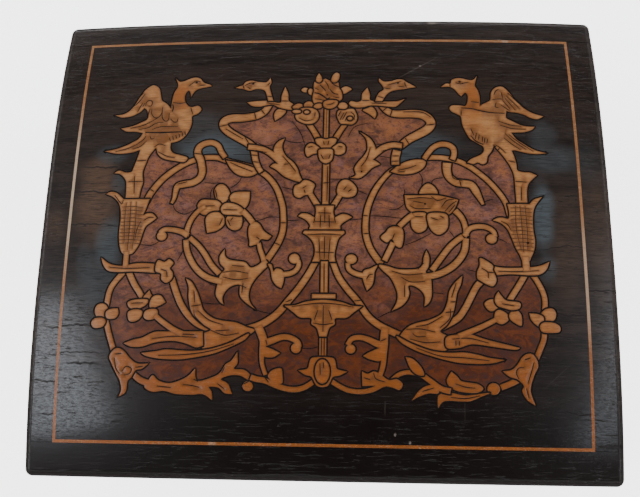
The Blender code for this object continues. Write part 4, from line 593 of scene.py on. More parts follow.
BURL_EDGE: list[complex] = [
    1+57j, -14+57.5j, -21+57.6j, -25.5+57j, -27+54.6j, -30.5+52.8j, -36+52j, -41.5+51.9j, -44.6+50.2j, -45+47.8j,
    -42.6+45j, -38.4+42.2j, -34+39.6j, -31+37j, -30+33j, -29+29j, -31+27.6j, -36+29j, -42+30.6j, -47+32.3j,
    -52.6+32.4j, -57.5+31.2j, -62+29.6j, -64.5+31.6j, -70+32.8j, -73.5+35.6j, -75+38j, -79+36j, -81+30j, -83+24j,
    -84+17j, -83+8j, -84-5j, -84.8-14j, -85-18.5j, -87-21j, -90-25.5j, -91.6-33j, -92.2-38j, -91.2-42.5j,
    -90-46.5j, -88.6-50.5j, -86-56j, -82.5-60.6j, -79.2-63j, -75-66.2j, -70-68j, -62-69j, -55-68.6j, -49-67j,
    -46.5-66j, -43-64.6j, -40-63.4j, -37-62j, -33.5-62.2j, -30-64j, -27-65j, -22.5-65.6j, -17-67.8j, -11.4-68.8j,
    -6.4-68j, -2-65.4j,
    4-65j, 9-67.6j, 13-69j, 17.6-69.3j, 22-68.4j, 26-66.4j, 30-64.6j, 33-62.1j, 37-61.3j, 42-62.2j, 45.4-64.6j,
    50-67.6j, 55-69j, 62-69.4j, 68-68.6j, 71.6-67.4j, 76-66.2j, 80-64.4j, 84-62j, 87-58j, 89.4-54j, 91.2-51j,
    92.8-47j, 93.2-42j, 93.8-36j, 94-31j, 93.2-27j, 91-22.4j, 88.6-19.4j, 87-17j, 87-12j, 86-5j, 84+4j, 85+12j,
    86+20j, 85+26j, 84+31j, 81+35j, 76+38.6j, 73+35.6j, 69+33.6j, 65+31.6j, 61+29.8j, 57+31.6j, 53.6+32.1j,
    48+32.4j, 44+30.8j, 38+29.6j, 32.4+28.6j, 32+32j, 32.6+36j, 34.6+38j, 38+40.9j, 42+43.2j, 46.2+45.8j,
    48+48.6j, 47+51.2j, 44+53.2j, 39+53.7j, 34+53.5j, 30.4+54j, 27.8+55.8j, 26+58j, 20+58.6j, 12+58.6j]

BURL_SEAMS: list[tuple[complex, ...]] = [
    (-52+20.6j, -48+20.2j, -45.2+20.4j), (-35.6+23.6j, -36.4+21.2j, -38.4+19.2j, -41+17.6j), (-49+13j, -49+16j,
    -48+18.4j), (-30+2.8j, -26+3.4j, -22.6+4.6j, -17.6+4.4j), (-35+0j, -33+3.6j), (-12.4+17j, -17.6+18.4j),
    (-8+40j, -12+39.4j, -17+40.4j), (-30+40j, -26+38j, -22+38.4j), (-55.6+8j, -60+6j, -64+7.6j, -65.8+10.8j),
    (-70-6j, -74-8j, -79-7.6j), (-62-15j, -60-11j, -59-8j), (-44.6-26j, -48-24.8j), (-27.2-36j, -24-37j,
    -19-37.8j), (-51-33j, -46-33.6j, -41.8-33.6j), (-8.6-51.8j, -4-52j, 0-51j), (42+25.6j, 43.6+22.6j, 43.4+19.8j,
    43.2+17.4j), (36+14.8j, 35.8+17.4j), (19.4+5.4j, 27+5j, 36+4j), (47.4+20j, 48.6+22j, 52.6+23j), (34.6-8j,
    40-6j, 47-2.4j), (56.8-4j, 54.6-1j), (36+11j, 33+8.6j, 29+8j), (15+17j, 19.6+15j), (21+38j, 27+38.6j,
    31+38.8j), (30.6+32j, 24+33j), (75-4j, 79-6j), (70+12j, 74+13.4j), (46.6-28j, 52-28.6j), (30-36j, 24-39j),
    (62-18j, 66-19j), (2.8+22j, 8+22j, 13+22.4j), (-10+3j, -16.4+3j), (10+3j, 18+4j), (-14+50j, -10+44j, -8+38j),
    (11+42j, 14+47j, 20+49j)]


def inside(points: np.ndarray, loop: np.ndarray) -> np.ndarray:
    """Tells which points a closed loop goes round.

    The winding number counts the loop's edges that pass to the right of a point, upward ones as +1 and downward
    ones as -1, and a point is inside where it isn't 0.

    Args:
        points: the points to test, one row each.
        loop: the closed loop, one row each.

    Returns:
        One True or False for each point.
    """
    start, end = loop, np.roll(loop, -1, axis=0)
    x, y = points[:, :1], points[:, 1:]
    left = (end[:, 0] - start[:, 0]) * (y - start[:, 1]) - (x - start[:, 0]) * (end[:, 1] - start[:, 1])
    upward = (start[:, 1] <= y) & (end[:, 1] > y) & (left > 0)
    downward = (start[:, 1] > y) & (end[:, 1] <= y) & (left < 0)
    return (upward.sum(1) - downward.sum(1)) != 0


def gap_to(points: np.ndarray, loop: np.ndarray) -> np.ndarray:
    """Measures how far each point is from a closed loop, by projecting it on every edge.

    Args:
        points: the points, one row each.
        loop: the closed loop, one row each.

    Returns:
        The distance from each point to the nearest edge.
    """
    along = np.roll(loop, -1, axis=0) - loop
    length = (along**2).sum(1) + 1e-12
    off = points[:, None, :] - loop[None]
    share = np.clip((off * along).sum(2) / length, 0, 1)
    return np.sqrt(((off - share[:, :, None] * along) ** 2).sum(2).min(1))


def nearest_of(points: np.ndarray, targets: np.ndarray, reach: float) -> tuple[np.ndarray, np.ndarray]:
    """Finds the nearest target to each point, tile by tile over the plan.

    Args:
        points: the points, one row each.
        targets: the targets, one row each.
        reach: how far away a target still counts; a tile is eight times as wide.

    Returns:
        For each point the distance to its nearest target, at most the reach, and that target's number.
    """
    tiles = np.unique(np.floor(points / (8 * reach)).astype(int), axis=0, return_inverse=True)[1].ravel()
    gaps, numbers = np.full(len(points), reach), np.zeros(len(points), int)
    for own in np.split(np.argsort(tiles, kind="stable"), np.cumsum(np.bincount(tiles))[:-1]):
        low, high = points[own].min(0) - reach, points[own].max(0) + reach
        close = np.nonzero(((targets > low) & (targets < high)).all(1))[0]
        if len(close):
            square = ((points[own, None] - targets[None, close]) ** 2).sum(2)
            best = square.argmin(1)
            gaps[own] = np.sqrt(square[np.arange(len(own)), best])
            numbers[own] = close[best]
    return gaps, numbers


def grown(loop: np.ndarray, amount: float) -> np.ndarray:
    """Moves a loop outward, each point along the mean normal of its two edges.

    Args:
        loop: the closed loop, one row each.
        amount: how far it moves; a negative amount moves it inward.

    Returns:
        The moved loop.
    """
    after = np.roll(loop, -1, axis=0)
    area = np.sum(loop[:, 0] * after[:, 1] - after[:, 0] * loop[:, 1])
    along = unit(unit(loop - np.roll(loop, 1, axis=0)) + unit(after - loop))
    return loop + np.sign(area) * amount * np.column_stack([along[:, 1], -along[:, 0]])


def along_edges(loop: np.ndarray, step: float) -> np.ndarray:
    """The closed loop with points added on its long edges, so that none is longer than a step."""
    after = np.roll(loop, -1, axis=0)
    edge, share = divided(after, loop, step)
    return loop[edge] + share * (after - loop)[edge]


def ring(low: Sequence[float], high: Sequence[float], radii: Sequence[float], arc: int = 6,
         run: int = 20) -> np.ndarray:
    """Draws a rectangle with a round corner of its own radius at each corner.

    Args:
        low: its lowest x and y.
        high: its highest x and y.
        radii: the radii at the front right, back right, back left and front left.
        arc: the points on each corner.
        run: the points between two corners.

    Returns:
        The points anticlockwise, as many for any size.
    """
    turn = np.linspace(0, math.pi / 2, arc)
    rows = []
    for (right, back, start), radius in zip(CORNERS, radii):
        centre_x = (high[0] - radius) if right else (low[0] + radius)
        centre_y = (high[1] - radius) if back else (low[1] + radius)
        angle = turn + math.radians(start)
        rows.append(np.column_stack([centre_x + radius * np.cos(angle), centre_y + radius * np.sin(angle)]))
    share = np.linspace(0, 1, run + 2)[1:-1, None]
    spans = [row[-1] + share * (after[0] - row[-1]) for row, after in zip(rows, rows[1:] + rows[:1])]
    return np.vstack([part for pair in zip(rows, spans) for part in pair])


def put(name: str, data: bpy.types.ID) -> bpy.types.Object:
    """Puts a mesh, light or camera into the scene as an object at the origin."""
    made = bpy.data.objects.new(name, data)
    bpy.context.scene.collection.objects.link(made)
    return made


def skin(name: str, rows: Sequence[np.ndarray], sharp: float = 35.0) -> bpy.types.Object:
    """Closes a stack of rings into a solid: four-sided faces between rings, and one face over each end.

    Args:
        name: the new object's name.
        rows: rings of as many points each, anticlockwise and from the bottom end to the top end.
        sharp: the angle in degrees from which an edge shows as an edge.

    Returns:
        The new object, riding on the box.
    """
    count = len(rows[0])
    around = np.arange(count)
    quads = [
        np.column_stack([around, np.roll(around, -1), np.roll(around, -1) + count, around + count]) + k * count
        for k in range(len(rows) - 1)
    ]
    ends = [around[::-1].tolist(), (around + (len(rows) - 1) * count).tolist()]
    mesh = bpy.data.meshes.new(name)
    mesh.from_pydata((np.vstack(rows) * MM).tolist(), [], np.vstack(quads).tolist() + ends)
    mesh.shade_smooth()
    mesh.set_sharp_from_angle(angle=math.radians(sharp))
    made = put(name, mesh)
    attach(made, BODY)
    LOG.info("piece %s: %d faces", name, len(mesh.polygons))
    return made


@dataclass(frozen=True)
class Crown:
    """The cushion top of the lid: how high the veneer lies over each point of the plan."""

    half_x: float
    half_y: float
    top: float
    fall_x: float = 4.9
    fall_y: float = 9.7
    power: float = 2.5
    ease_in: float = 3.0
    ease_down: float = 1.8
    least_radius: float = 0.4

    def rim(self, inset: float) -> np.ndarray:
        """The lid's outline moved in by an inset."""
        x, y = self.half_x - inset, self.half_y - inset
        return ring((-x, -y), (x, y), (max(CORNER - inset, self.least_radius),) * 4, arc=8, run=0)

    def inset(self, xy: np.ndarray) -> np.ndarray:
        """How far each point lies inside the lid's rounded rectangle."""
        past = np.abs(xy) - (np.array([self.half_x, self.half_y]) - CORNER)
        return CORNER - (np.linalg.norm(np.maximum(past, 0), axis=1) + np.minimum(past.max(1), 0))

    def height(self, xy: np.ndarray, eased: bool = True) -> np.ndarray:
        """The height of the veneer's face.

        The middle height falls with the power of the share of the way to each side, and within the eased edge
        it falls by a quarter of an ellipse as well.

        Args:
            xy: plan points, one row each.
            eased: False to leave the eased edge out.

        Returns:
            One height for each point.
        """
        share = np.abs(xy) / np.array([self.half_x, self.half_y])
        plain = self.top - (self.fall_x * share[:, 0] ** self.power + self.fall_y * share[:, 1] ** self.power)
        edge = np.clip(1 - self.inset(xy) / self.ease_in, 0, 1)
        return plain - self.ease_down * (1 - np.sqrt(1 - edge**2)) if eased else plain

    def normal(self, xy: np.ndarray, reach: float = 0.03) -> np.ndarray:
        """Works out the unit normal of the face, from the height differences a small reach to each side.

        Args:
            xy: plan points, one row each.
            reach: how far to each side the heights are taken.

        Returns:
            One normal for each point.
        """
        steps = (np.array([reach, 0]), np.array([0, reach]))
        slopes = [(self.height(xy + step) - self.height(xy - step)) / (2 * reach) for step in steps]
        return unit(np.column_stack([-slopes[0], -slopes[1], np.ones(len(xy))]), 0.0)


@dataclass(frozen=True)
class Sheet:
    """A closed sheet of wood: its triangles with a normal for each corner, and each point's tone and rim.

    The tone is how light the wood is. The rim is 1 on the outline, and falls to 0 inside it.
    """

    points: np.ndarray
    faces: np.ndarray
    normals: np.ndarray
    tone: np.ndarray
    rim: np.ndarray


def joined(name: str, sheets: Sequence[Sheet]) -> bpy.types.Object:
    """Puts sheets into one mesh.

    Args:
        name: the new object's name.
        sheets: the sheets, which share no points.

    Returns:
        The new object, with its normals and its tone and rim attributes.
    """
    points = np.vstack([sheet.points for sheet in sheets]) * MM
    starts = np.cumsum([0] + [len(sheet.points) for sheet in sheets])
    faces = np.vstack([sheet.faces + start for sheet, start in zip(sheets, starts)])
    mesh = bpy.data.meshes.new(name)
    mesh.vertices.add(len(points))
    mesh.vertices.foreach_set("co", points.astype(np.float32).ravel())
    mesh.loops.add(faces.size)
    mesh.loops.foreach_set("vertex_index", faces.astype(np.int32).ravel())
    mesh.polygons.add(len(faces))
    mesh.polygons.foreach_set("loop_start", np.arange(0, faces.size, 3, dtype=np.int32))
    mesh.polygons.foreach_set("use_smooth", np.ones(len(faces), bool))
    mesh.update(calc_edges=True)
    for key in ("tone", "rim"):
        rows = np.concatenate([getattr(sheet, key) for sheet in sheets])
        mesh.attributes.new(key, "FLOAT", "POINT").data.foreach_set("value", rows.astype(np.float32))
    mesh.normals_split_custom_set(np.vstack([sheet.normals for sheet in sheets]).astype(np.float32).tolist())
    return put(name, mesh)


class Ground(Enum):
    """What the plan shows where no fruitwood lies: the name of its piece, and its CAD node."""

    FIELD = ("field", "field_veneer")
    BURL = ("burl", "burl_ground")
    FRONT = ("front_border", "border_front")
    BACK = ("back_border", "border_back")
    LEFT = ("left_border", "border_left")
    RIGHT = ("right_border", "border_right")
    LINE_FRONT = ("front_line", "stringing_front")
    LINE_BACK = ("back_line", "stringing_back")
    LINE_LEFT = ("left_line", "stringing_left")
    LINE_RIGHT = ("right_line", "stringing_right")
    FILLER = ("saw_line_filler", "")

    @property
    def number(self) -> int:
        """Its number among the owners of the plan's triangles."""
        return list(Ground).index(self)


@dataclass
class Marquetry:
    """All the veneers of the lid, sawn as one jigsaw over the crown."""

    crown: Crown
    line_width: float = 1.25
    inset_side: float = 13.0
    inset_front: float = 14.5
    inset_back: float = 12.5
    depth: float = 2.1
    sunk: float = 0.12
    grid: float = 5.0
    seam: float = 0.22
    seam_past: float = 2.0
    kerf_margin: float = 0.5
    rim_insets: Sequence[float] = (0.0, 0.12, 0.4, 0.8, 1.4, 2.1, 3.0)
    rim_reach: float = 1.1
    rim_steps: Sequence[float] = (-0.3, -0.75)
    roll: float = 0.22
    roll_drop: float = 0.07
    tone_spread: float = 0.08
    tone_beat: float = 7.3
    least_area: float = 1e-7
    pieces: dict[str, bpy.types.Object] = field(default_factory=dict)

    def figures(self) -> list[tuple[str, Figure]]:
        """Every figure from the lowest drawn to the highest, with the piece that it belongs to."""
        return [(group + end, figure) for end, motifs in (("_left", LEFT), ("_right", RIGHT), ("", MIDDLE))
                for group, figures in motifs for figure in figures]

    def line_edges(self, spread: float) -> tuple[float, float, float, float]:
        """Places the light line's rectangle.

        Args:
            spread: how far it is moved out from the line's middle.

        Returns:
            Its left, right, front and back.
        """
        side = self.crown.half_x - self.inset_side
        front = -self.crown.half_y + self.inset_front
        back = self.crown.half_y - self.inset_back
        return -side - spread, side + spread, front - spread, back + spread

    def line_loop(self, spread: float) -> np.ndarray:
        """The rectangle of the light line's inner or outer edge, with points along it."""
        left, right, front, back = self.line_edges(spread)
        return along_edges(np.array([(left, front), (right, front), (right, back), (left, back)]), self.grid)

    def seams(self) -> list[np.ndarray]:
        """Draws the joints of the border, from the light line's corners sideways past the lid's edge.

        Returns:
            Four narrow rectangles.
        """
        left, right, front, back = self.line_edges(self.line_width / 2)
        reach = self.crown.half_x + self.seam_past
        return [
            np.array([(x, y), (end, y), (end, y + self.seam), (x, y + self.seam)])
            for y in (front, back) for x, end in ((left, -reach), (right, reach))
        ]

    def plan(self, loops: list[np.ndarray]) -> tuple[np.ndarray, np.ndarray]:
        """Cuts the lid's plan into triangles that follow every loop.

        Args:
            loops: closed loops that no triangle may cross.

        Returns:
            The points, one row each, and the triangles that lie on the lid, anticlockwise.
        """
        crown = self.crown
        x, y = (np.arange(self.grid - half, half - 1, self.grid) for half in (crown.half_x, crown.half_y))
        loose = np.column_stack([g.ravel() for g in np.meshgrid(x, y)])
        every = [along_edges(crown.rim(inset), self.grid) for inset in self.rim_insets] + loops
        starts = np.cumsum([0] + [len(loop) for loop in every])
        edges = np.vstack([
            np.column_stack([np.arange(len(loop)), np.roll(np.arange(len(loop)), -1)]) + start
            for loop, start in zip(every, starts)
        ])
        points = np.vstack(every + [loose])
        out = delaunay_2d_cdt([Vector(p) for p in points], edges.tolist(), [], 0, 1e-4, False)
        xy, faces = np.array([tuple(v) for v in out[0]]), np.array(out[2])
        faces = faces[crown.inset(xy[faces].mean(1)) > 0]
        a, b, c = (xy[faces[:, i]] for i in range(3))
        area = (b[:, 0] - a[:, 0]) * (c[:, 1] - a[:, 1]) - (c[:, 0] - a[:, 0]) * (b[:, 1] - a[:, 1])
        faces[area < 0] = faces[area < 0][:, ::-1]
        return xy, faces[np.abs(area) > self.least_area]

    def ground(self, middle: np.ndarray, burl: np.ndarray) -> np.ndarray:
        """Names the ground under each triangle.

        Args:
            middle: the triangles' middles, one row each.
            burl: the outline of the burl.

        Returns:
            The number of each one's ground.
        """
        half = self.line_width / 2
        outer, inner, centre = (self.line_edges(spread) for spread in (half, -half, 0))
        x, y = middle[:, 0], middle[:, 1]
        sideways = np.maximum(inner[0] - x, x - inner[1])
        lengthways = np.maximum(inner[2] - y, y - inner[3])
        on_side = (sideways > 0) & (sideways > lengthways)
        on_side &= np.maximum(centre[0] - x, x - centre[1]) > -self.line_width
        owner = np.full(len(middle), Ground.FIELD.number)
        for where, ground in (
            (inside(middle, burl), Ground.BURL),
            (y > inner[3], Ground.LINE_BACK), (y < inner[2], Ground.LINE_FRONT),
            (on_side & (x < 0), Ground.LINE_LEFT), (on_side & (x > 0), Ground.LINE_RIGHT),
            (x < outer[0], Ground.LEFT), (x > outer[1], Ground.RIGHT),
            (y > outer[3], Ground.BACK), (y < outer[2], Ground.FRONT),
        ):
            owner[where] = ground.number
        return owner

    def build(self) -> None:
        """Saws the plan along every outline and raises each piece as a closed sheet over the crown."""
        figures = self.figures()
        burl = smooth(rows_of(BURL_EDGE), closed=True)
        seams, hairs = self.seams(), [line(*points).loop() for points in BURL_SEAMS]
        drawn = [[shape.loop() for shape in figure.shapes] for _, figure in figures]
        cuts = [figure.cut_loops() for _, figure in figures]
        loops = [burl, self.line_loop(self.line_width / 2), self.line_loop(-self.line_width / 2)] + seams + hairs
        reaches = (KERF, KERF + self.kerf_margin, *self.rim_steps)
        for rows, lines in zip(drawn, cuts):
            loops += rows + lines
            loops += [grown(loop, reach) for loop in rows for reach in reaches]
        xy, faces = self.plan(loops)
        middle = xy[faces].mean(1)
        owner = self.ground(middle, burl)
        for loop in seams:
            owner[inside(middle, loop)] = Ground.FILLER.number
        for loop in hairs:
            self.fill(middle, owner, loop, Ground.BURL.number)
        for number in sorted(range(len(figures)), key=lambda number: figures[number][1].joined):
            own = len(Ground) + number
            held, sawn = np.zeros(len(middle), bool), np.zeros(len(middle), bool)
            for loop in drawn[number]:
                near = self.near(middle, loop, KERF)
                held[near] |= inside(middle[near], loop)
                sawn[near] |= gap_to(middle[near], loop) < KERF
            if figures[number][1].joined:
                sawn &= owner < len(Ground)
            owner[sawn] = Ground.FILLER.number
            owner[held] = own
            for loop in cuts[number]:
                self.fill(middle, owner, loop, own)
        LOG.info("sawed the plan into %d triangles for %d figures", len(faces), len(figures))
        self.raise_pieces(xy, faces, owner)

    @staticmethod
    def near(middle: np.ndarray, loop: np.ndarray, room: float) -> np.ndarray:
        """The numbers of the points in the loop's bounding box, with some room round it."""
        low, high = loop.min(0) - room, loop.max(0) + room
        return np.nonzero(((middle > low) & (middle < high)).all(1))[0]

    def fill(self, middle: np.ndarray, owner: np.ndarray, loop: np.ndarray, over: int) -> None:
        """Turns what lies inside a thin loop into filler.

        Args:
            middle: the triangles' middles, one row each.
            owner: the number of each one's owner, which is changed.
            loop: the closed loop.
            over: the owner that gives way; triangles of any other stay.
        """
        near = self.near(middle, loop, 0.0)
        near = near[owner[near] == over]
        owner[near[inside(middle[near], loop)]] = Ground.FILLER.number

    def raise_pieces(self, xy: np.ndarray, faces: np.ndarray, owner: np.ndarray) -> None:
        """Makes one object from the triangles of each piece of wood, and one from the filler's.

        Args:
            xy: the plan's points.
            faces: its triangles.
            owner: the number of the ground or figure that each triangle belongs to.
        """
        nodes = dict(ground.value for ground in Ground)
        owners = [(ground.value[0], 0.0, self.sunk if ground is Ground.FILLER else 0.0, 0.0) for ground in Ground]
        for number, (name, figure) in enumerate(self.figures()):
            nodes[name] = f"inlay_{name}"
            wave = 0.0 if figure.joined else self.tone_spread * math.sin(self.tone_beat * number)
            owners.append((name, figure.tone + wave, 0.0, self.roll))
        sheets: dict[str, list[Sheet]] = {}
        for number, (name, *values) in enumerate(owners):
            own = faces[owner == number]
            if len(own):
                sheets.setdefault(name, []).append(self.sheet(xy, own, *values))
        for name, parts in sheets.items():
            made = joined(name, parts)
            if nodes[name]:
                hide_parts(nodes[name])
            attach(made, BODY)
            self.pieces[name] = made
            LOG.info("piece %s: %d triangles", name, len(made.data.polygons))

    def sheet(self, xy: np.ndarray, faces: np.ndarray, tone: float, sunk: float, roll: float) -> Sheet:
        """Raises a closed sheet over some triangles of the plan.

        Its face lies on the crown less the sunk amount, its back a depth below, and a wall joins the two along
        every edge that only one of the triangles has. With a roll, the face turns down a little at its outline:
        its height falls, and its normal leans outwards, by the square of its share of the way to the rim.

        Args:
            xy: the plan's points.
            faces: the triangles, anticlockwise.
            tone: how light this piece of wood is.
            sunk: how far the face lies below the crown.
            roll: how far the normal leans at the rim.

        Returns:
            The sheet.
        """
        used, local = np.unique(faces, return_inverse=True)
        local = local.reshape(faces.shape)
        plan, count = xy[used], len(used)
        edges = np.vstack([local[:, [0, 1]], local[:, [1, 2]], local[:, [2, 0]]])
        keys = edges[:, 0] * (count + 1) + edges[:, 1]
        twins = edges[:, 1] * (count + 1) + edges[:, 0]
        a, b = edges[~np.isin(keys, twins)].T
        run = plan[b] - plan[a]
        out = unit(np.column_stack([run[:, 1], -run[:, 0], np.zeros(len(run))]))
        gap, nearest = nearest_of(plan, plan[a], self.rim_reach)
        rim = np.clip(1 - gap / self.rim_reach, 0, 1)
        lean = np.zeros((count, 3))
        np.add.at(lean, a, out)
        np.add.at(lean, b, out)
        up = unit(self.crown.normal(plan) + roll * rim[:, None] ** 2 * unit(lean)[a][nearest], 0.0)
        height = self.crown.height(plan) - sunk - self.roll_drop * (roll > 0) * rim**2
        back = np.minimum(self.crown.height(plan, eased=False) - self.depth, height - 0.1)
        walls = np.vstack([np.column_stack([b, a, a + count]), np.column_stack([b, a + count, b + count])])
        return Sheet(
            np.vstack([np.column_stack([plan, height]), np.column_stack([plan, back])]),
            np.vstack([local, local[:, ::-1] + count, walls]),
            np.vstack([up[local].reshape(-1, 3), np.tile([0.0, 0.0, -1.0], (local.size, 1)),
                       np.repeat(np.vstack([out, out]), 3, axis=0)]),
            np.full(2 * count, tone), np.concatenate([rim, rim]))

    def dress(self) -> None:
        """Gives each piece the finish of its wood."""
        dark = DarkPolish("dark_lid_veneer", blooms_and_sheens=BLOOM_AND_SHEEN_PATCHES, worns=WORNS, cracks=CRACKS, nicks=NICKS).make()
        gold, grey = (0.34, 0.145, 0.055), (0.56, 0.42, 0.29)
        pale = Fruitwood("light_line_wood", gold=gold, grey=grey, pales=PALES, rim_shade=0.3)
        picture = (Fruitwood("golden_fruitwood", reds=REDS).make(), "fruitwood")
        woods = {
            "saw_line_filler": (Filler().make(), "dark_veneer"), "burl": (Burl().make(), "burl"),
            "field": (dark, "dark_veneer"), "border": (dark, "dark_veneer"), "line": (pale.make(), "fruitwood"),
        }
        for name, made in self.pieces.items():
            paint, slot = woods.get(name) or woods.get(name.rpartition("_")[2], picture)
            paint.dress(made)


@dataclass
class LidBody:
    """The hollow board under the veneers, with the lip that drops inside the case."""

    crown: Crown
    lip_bottom: float
    veneer: float = 2.15
    board: float = 7.0
    lip_height: float = 4.0
    lip_inset: float = 8.5
    lip_wall: float = 6.0
    ease: float = 0.6
    least_radius: float = 0.8
    shares: Sequence[float] = (0.03, 0.2, 0.4, 0.6, 0.75, 0.88, 0.96)

    def level(self, inset: float, height: float, share: float = 1.0) -> np.ndarray:
        """Draws a ring of the lid's outline.

        Args:
            inset: how far it is moved in.
            height: its height.
            share: how far it is shrunk.

        Returns:
            Its points, one row each.
        """
        x, y = self.crown.half_x - inset, self.crown.half_y - inset
        plan = ring((-x, -y), (x, y), (max(CORNER - inset, self.least_radius),) * 4, run=24) * share
        return np.column_stack([plan, np.full(len(plan), height)])

    def under_crown(self, inset: float, drop: float, share: float = 1.0) -> np.ndarray:
        """Draws such a ring a drop below the crown, whose eased edge is left out."""
        plan = self.level(inset, 0.0, share)[:, :2]
        return np.column_stack([plan, self.crown.height(plan, eased=False) - drop])

    def build(self, paint: "Paint") -> bpy.types.Object:
        """Makes the shell: ceiling from the middle out, down the lip, along the rim, up the side, over the top.

        Args:
            paint: its finish.

        Returns:
            The lid's board, standing for its CAD node.
        """
        low, under = self.lip_bottom, self.lip_bottom + self.lip_height
        outer, inner = self.lip_inset, self.lip_inset + self.lip_wall
        ease, below = self.ease, self.veneer + self.board
        made = skin("lid_board", [
            *(self.under_crown(inner, below, share) for share in (*self.shares, 1.0)),
            self.level(inner, low + ease), self.level(inner - ease, low), self.level(outer + ease, low),
            self.level(outer, low + ease), self.level(outer, under), self.level(ease, under),
            self.level(0.2 * ease, under + 0.2 * ease), self.level(0, under + ease),
            *(self.under_crown(0, self.veneer, share) for share in (1.0, *reversed(self.shares))),
        ])
        paint.dress(made)
        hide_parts("lid")
        return made


@dataclass
class Case:
    """The five boards of the case, each at its CAD node's place with its edges softened."""

    plain: float = 0.7
    ease: float = 0.5
    least_radius: float = 0.1

    def board(self, name: str, node: str, radii: Sequence[float]) -> bpy.types.Object:
        """Makes one board: its plan outline carried up, moved in along a quarter circle at both ends.

        Args:
            name: the new object's name.
            node: the CAD node that it stands for, which gives its place.
            radii: the radii of its upright edges, from the front right anticlockwise.

        Returns:
            The new object.
        """
        low, high = (np.array(corner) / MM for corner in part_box(node))
        turn = np.linspace(0, math.pi / 2, 4)
        insets, lifts = self.ease * (1 - np.sin(turn)), self.ease * (1 - np.cos(turn))
        rows = []
        for inset, height in [*zip(insets, low[2] + lifts), *zip(insets[::-1], high[2] - lifts[::-1])]:
            inner = [max(radius - inset, self.least_radius) for radius in radii]
            plan = ring(low[:2] + inset, high[:2] - inset, inner, run=3)
            rows.append(np.column_stack([plan, np.full(len(plan), height)]))
        made = skin(name, rows)
        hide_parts(node)
        return made

    def build(self, sides: "Paint") -> None:
        """Makes and dresses the floor board and the four walls, round at the case's outer uprights.

        Args:
            sides: the finish of the front and back, whose grain runs along them.
        """
        flat, plain = self.plain, PlainBoard().make()
        ends = DarkPolish("dark_case_veneer_ends", Grain.Y, light=CASE_LIGHT, gloss=CASE_GLOSS).make()
        for name, node, radii, paint, slot in (
            ("floor_board", "case_bottom", (CORNER,) * 4, plain, "carcass"),
            ("front_board", "case_front", (CORNER, flat, flat, CORNER), sides, "dark_veneer"),
            ("back_board", "case_back", (flat, CORNER, CORNER, flat), sides, "dark_veneer"),
            ("left_board", "case_left", (flat,) * 4, ends, "dark_veneer"),
            ("right_board", "case_right", (flat,) * 4, ends, "dark_veneer"),
        ):
            made = self.board(name, node, radii)
            paint.dress(made)


Number = Union[float, "Value"]


def arithmetic(operation: str, swapped: bool = False) -> Callable[["Value", Number], "Value"]:
    """Makes an operator that adds a Math node.

    Args:
        operation: the node's operation.
        swapped: True for a reflected form, whose other operand comes first.

    Returns:
        The operator's method.
    """
    def method(self: "Value", other: Number) -> "Value":
        """The result over the two operands."""
        return self.paint.math(operation, *((other, self) if swapped else (self, other)))
    return method


@dataclass
class Value:
    """One socket of a material's tree, with the arithmetic of numbers."""

    paint: "Paint"
    socket: bpy.types.NodeSocket

    __add__, __radd__ = arithmetic("ADD"), arithmetic("ADD", True)
    __sub__, __rsub__ = arithmetic("SUBTRACT"), arithmetic("SUBTRACT", True)
    __mul__, __rmul__ = arithmetic("MULTIPLY"), arithmetic("MULTIPLY", True)
    __truediv__, __pow__ = arithmetic("DIVIDE"), arithmetic("POWER")


Colour = tuple[float, float, float]
Shade = Union[Value, Colour]


